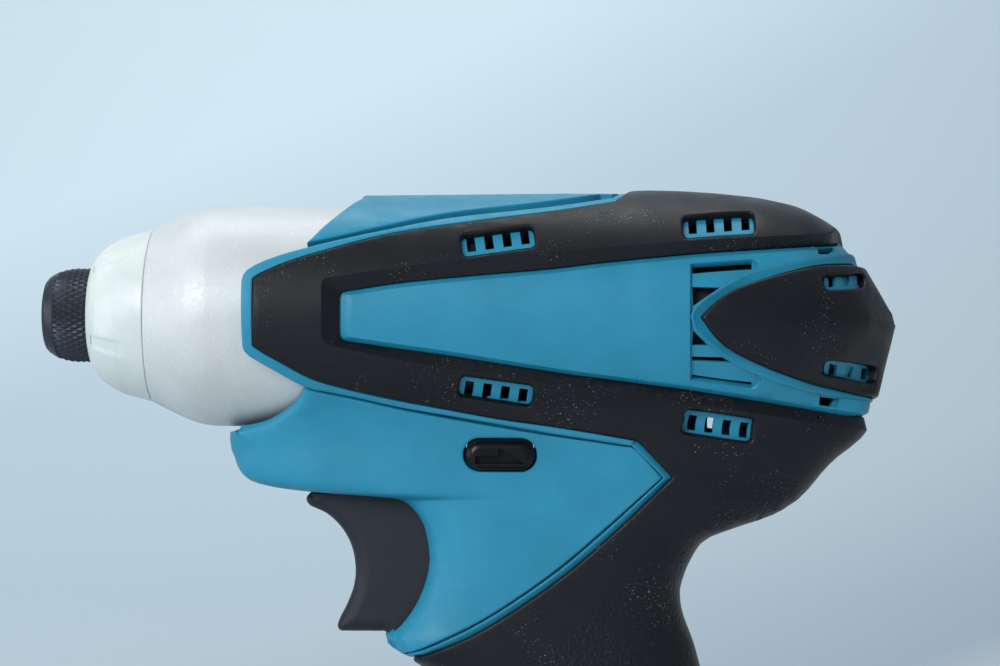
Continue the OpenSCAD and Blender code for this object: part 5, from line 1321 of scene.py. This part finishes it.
def slab(size, soft, at):
    """A block with rounded edges."""
    bm = bmesh.new()
    bmesh.ops.create_cube(bm, size=1)
    bmesh.ops.scale(bm, vec=size, verts=bm.verts[:])
    bmesh.ops.bevel(bm, geom=bm.edges[:], offset=soft, segments=4, profile=0.5, affect="EDGES", material=-1)
    return moved(bm, at)


def button_shells(side):
    """Release button: a rounded cap with finger ribs, and the flange that holds it in."""
    cap_y = side * (BUTTON_FACE_Y - BUTTON_T / 2)
    shells = [slab((BUTTON_L, BUTTON_T, BUTTON_H), BUTTON_SOFT, (0, cap_y, BUTTON_Z)),
              slab((BUTTON_L + FLANGE_OVER, FLANGE_T, BUTTON_H), 0.15, (0, side * FLANGE_Y, BUTTON_Z))]
    for k in range(BUTTON_RIBS):
        x = (k - (BUTTON_RIBS - 1) / 2) * RIB_PITCH
        rib_at = (x, side * (BUTTON_FACE_Y - 0.2), BUTTON_Z)
        shells.append(slab((RIB_W, RIB_T, BUTTON_H - RIB_SHORT), 0.5, rib_at))
    return [at_foot(bm) for bm in shells]


# ---------------------------------------------------------------- springs
# Node and body, joint that squeezes it, middle of the moving end, way to the fixed end, coil radius,
# wire radius, length, turns, and length left when squeezed
SPRINGS = [("hammer_spring", "spindle", "hammer_slide", (43.25, 0, 0), (1, 0, 0), 12.15, 1.3, 18.8, 3.5, 11.3),
           ("sleeve_spring", "anvil", "sleeve_slide", (9.1, 0, 0), (-1, 0, 0), 6.92, 0.35, 6.7, 3, 3.1),
           ("trigger_spring", "housing", "trigger_pull", (67.88, 0, -42.55), (1, 0, 0), 3.77, 0.36, 11.5, 5, 5.5)]
SPRINGS += [("battery_button_springs", "battery", "button_" + name + "_push", (100.55, side * 23.5, BUTTON_Z),
             (0, -side, 0), 2.5, 0.42, 9.3, 4, 6.8) for name, side in SIDES]


def coil(ring_r, wire_r, length, turns):
    """A closed helix of wire along X from nought."""
    bm = bmesh.new()
    steps = int(turns * 32)
    ring = bmesh.ops.create_circle(bm, cap_ends=True, segments=12, radius=wire_r)["verts"]
    bmesh.ops.translate(bm, vec=(wire_r, ring_r, 0), verts=ring)
    bmesh.ops.spin(bm, geom=everything(bm), cent=(0, 0, 0), axis=(1, 0, 0),
                   angle=2 * math.pi * turns, steps=steps, dvec=((length - 2 * wire_r) / steps, 0, 0))
    return bm


def dress_springs():
    for node, body, joint, at, way, ring_r, wire_r, length, turns, left in SPRINGS:
        bm = turned(coil(ring_r, wire_r, length, turns), Vector(way).to_track_quat("X", "Z").to_matrix())
        spring = piece("squeezed_" + joint, [place(facing_out(moved(bm, at)))], body, node, "steel")
        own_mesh(spring)


# ---------------------------------------------------------------- stage and light
FLOOR_HALF, BACKDROP_Y, COVE_R, WALL_TOP, FLOOR_DROP = 3.2, 1.7, 0.8, 3.4, 0.0002


def backdrop_painted_falloff():
    f = Finish("pale_backdrop_painted_falloff", 0.9, specular=0.1)
    # Painted fall-off of light: pale high on the wall, painted shade darker down the wall and towards the front and
    # right, then pale again on the floor round the tool.
    fall = f.beyond((0.6, -0.35, -1), -1098, 1400)
    f.color(f.ramp(fall, [(0, srgb(204, 222, 230)), (0.21, srgb(206, 224, 233)), (0.39, srgb(186, 203, 215)),
                          (0.71, srgb(178, 194, 203)), (0.86, srgb(158, 172, 184)), (0.93, srgb(208, 213, 217)),
                          (1, srgb(213, 218, 221))]))
    f.rough(f.ranged(f.grain(30, 2), 0.85, 0.95))
    return f.material


def add_stage():
    """Pale floor that curves up into a backdrop, its colour holding a painted fall-off of light."""
    bm = bmesh.new()
    path = [(-FLOOR_HALF, 0.0), (BACKDROP_Y - COVE_R, 0.0)]
    path += [(BACKDROP_Y - COVE_R + COVE_R * math.sin(a), COVE_R - COVE_R * math.cos(a))
             for a in np.linspace(0, math.pi / 2, 17)[1:]]
    path.append((BACKDROP_Y, WALL_TOP))
    verts = [bm.verts.new((-FLOOR_HALF, y, z - FLOOR_DROP)) for y, z in path]
    edges = [bm.edges.new(pair) for pair in zip(verts, verts[1:])]
    sheet = bmesh.ops.extrude_edge_only(bm, edges=edges)["geom"]
    far_side = [g for g in sheet if isinstance(g, bmesh.types.BMVert)]
    bmesh.ops.translate(bm, vec=(2 * FLOOR_HALF, 0, 0), verts=far_side)
    obj = new_object("backdrop", facing_out(bm), backdrop_painted_falloff())


TOOL_AT, WALL_AT = (0.0, 0.0, 0.14), (0.0, 1.7, 0.3)
# Place, size and power of each lamp, and what it looks at
LAMPS = [("key", (-0.46, -0.78, 0.5), 0.42, 6.2, TOOL_AT), ("top", (-0.5, 0.0, 0.8), 0.5, 0.7, TOOL_AT),
         ("window", (-0.78, -0.2, 0.2), 0.4, 1.2, TOOL_AT), ("wash", (-0.1, 0.6, 1.7), 1.2, 18.5, WALL_AT)]
WORLD_COLOR, WORLD_STRENGTH = srgb(240, 245, 249), 0.43


def add_light():
    for name, at, size, power, aim in LAMPS:
        data = bpy.data.lights.new(name, "AREA")
        data.shape, data.size, data.energy = "SQUARE", size, power
        lamp = bpy.data.objects.new(name, data)
        lamp.location = at
        lamp.rotation_euler = (Vector(aim) - Vector(at)).to_track_quat("-Z", "Y").to_euler()
        bpy.context.scene.collection.objects.link(lamp)
    world = bpy.data.worlds.new("studio")
    world.use_nodes = True
    sky = world.node_tree.nodes["Background"].inputs
    sky["Color"].default_value, sky["Strength"].default_value = WORLD_COLOR, WORLD_STRENGTH
    bpy.context.scene.world = world
    bpy.context.scene.view_settings.view_transform = "Standard"


# ---------------------------------------------------------------- the whole tool
def head_shells():
    """Hard and soft shells of the head that are alike on both sides."""
    hard = [plateau_shell(), bead_shell(), rim_shell(), spine_shell()] + vent_plates()
    return hard, band_shells()


def dress_side(side, head_hard, head_soft):
    """Dresses one half of the housing; only the right half has screw holes."""
    mirror = side == "right"
    panel_spots, skin_spots, tail_spots = (PANEL_SCREWS, SKIN_SCREWS, TAIL_SCREWS) if mirror else ([], [], [])
    panel_rings, skin_rings = ([screw_ring(s) for s in spots] for spots in (panel_spots, skin_spots))
    shell_rings = [screw_ring(s, TAIL_HOLE_R, unwrap_head) for s in tail_spots]
    holes = [lever_hole()] + panel_rings
    hard = head_hard + [barrel_shell(shell_rings)] + lower_panel_shells(holes)
    hard += [screw_well(s) for s in panel_spots + skin_spots] + [core_shell(holes + skin_rings)]
    if not mirror:
        hard += vent_ribs()
    soft = head_soft + skin_shells(skin_rings)
    tail = [leaf_shell([screw_ring(s, TAIL_HOLE_R) for s in tail_spots])]
    tail += [screw_well(s, TAIL_HOLE_R, TAIL_WELL_T) for s in tail_spots]
    piece("housing_shell_" + side, hard, "housing", "housing_" + side, "shell_teal", mirror=mirror)
    piece("soft_grip_" + side, soft, "housing", "grip_skin_" + side, "soft_skin", mirror=mirror)
    piece("tail_leaf_" + side, tail, "housing", "tail_pad_" + side, "soft_skin", mirror=mirror)


def dress_nose():
    piece("silver_case", [hammer_case_shell()], "housing", "hammer_case", "bare_case")
    piece("nose_bumper", [bumper_shell()], "housing", "bumper", "bumper_rubber")
    piece("knurled_sleeve", [sleeve_shell()], "sleeve", "sleeve", "black_steel", sharp=20)
    piece("light_lens", [lens_shell()], "housing", "work_light_lens", "lens")


def dress_controls():
    piece("trigger_pad", [trigger_shell()], "trigger", "trigger", "dark_plastic")
    piece("reversing_button", lever_shells(), "lever", "reversing_lever", "black_gloss")


def dress_battery():
    piece("battery_lid", battery_lid_shells(), "battery", "battery_case", "dark_plastic")
    piece("battery_foot", battery_base_shells(), "battery", "battery_base", "dark_plastic")
    for name, side in SIDES:
        piece("release_button_" + name, button_shells(side), "button_" + name, "battery_button_" + name,
              "dark_plastic")


def dress_plain_nodes():
    """Every solid that keeps its CAD shape gets the finish of its slot."""
    for part in frame["record"]["subparts"]:
        for slot in frame["nodes"][part["node"]].material_slots:
            name = "dark_can" if part["node"] == "motor_can" else part["material_slot"]
            slot.material = FINISHES[name]


add_camera()
add_stage()
add_light()
dress_plain_nodes()
head = head_shells()
dress_side("left", *head)
dress_side("right", *head)
dress_nose()
dress_controls()
dress_battery()
dress_springs()
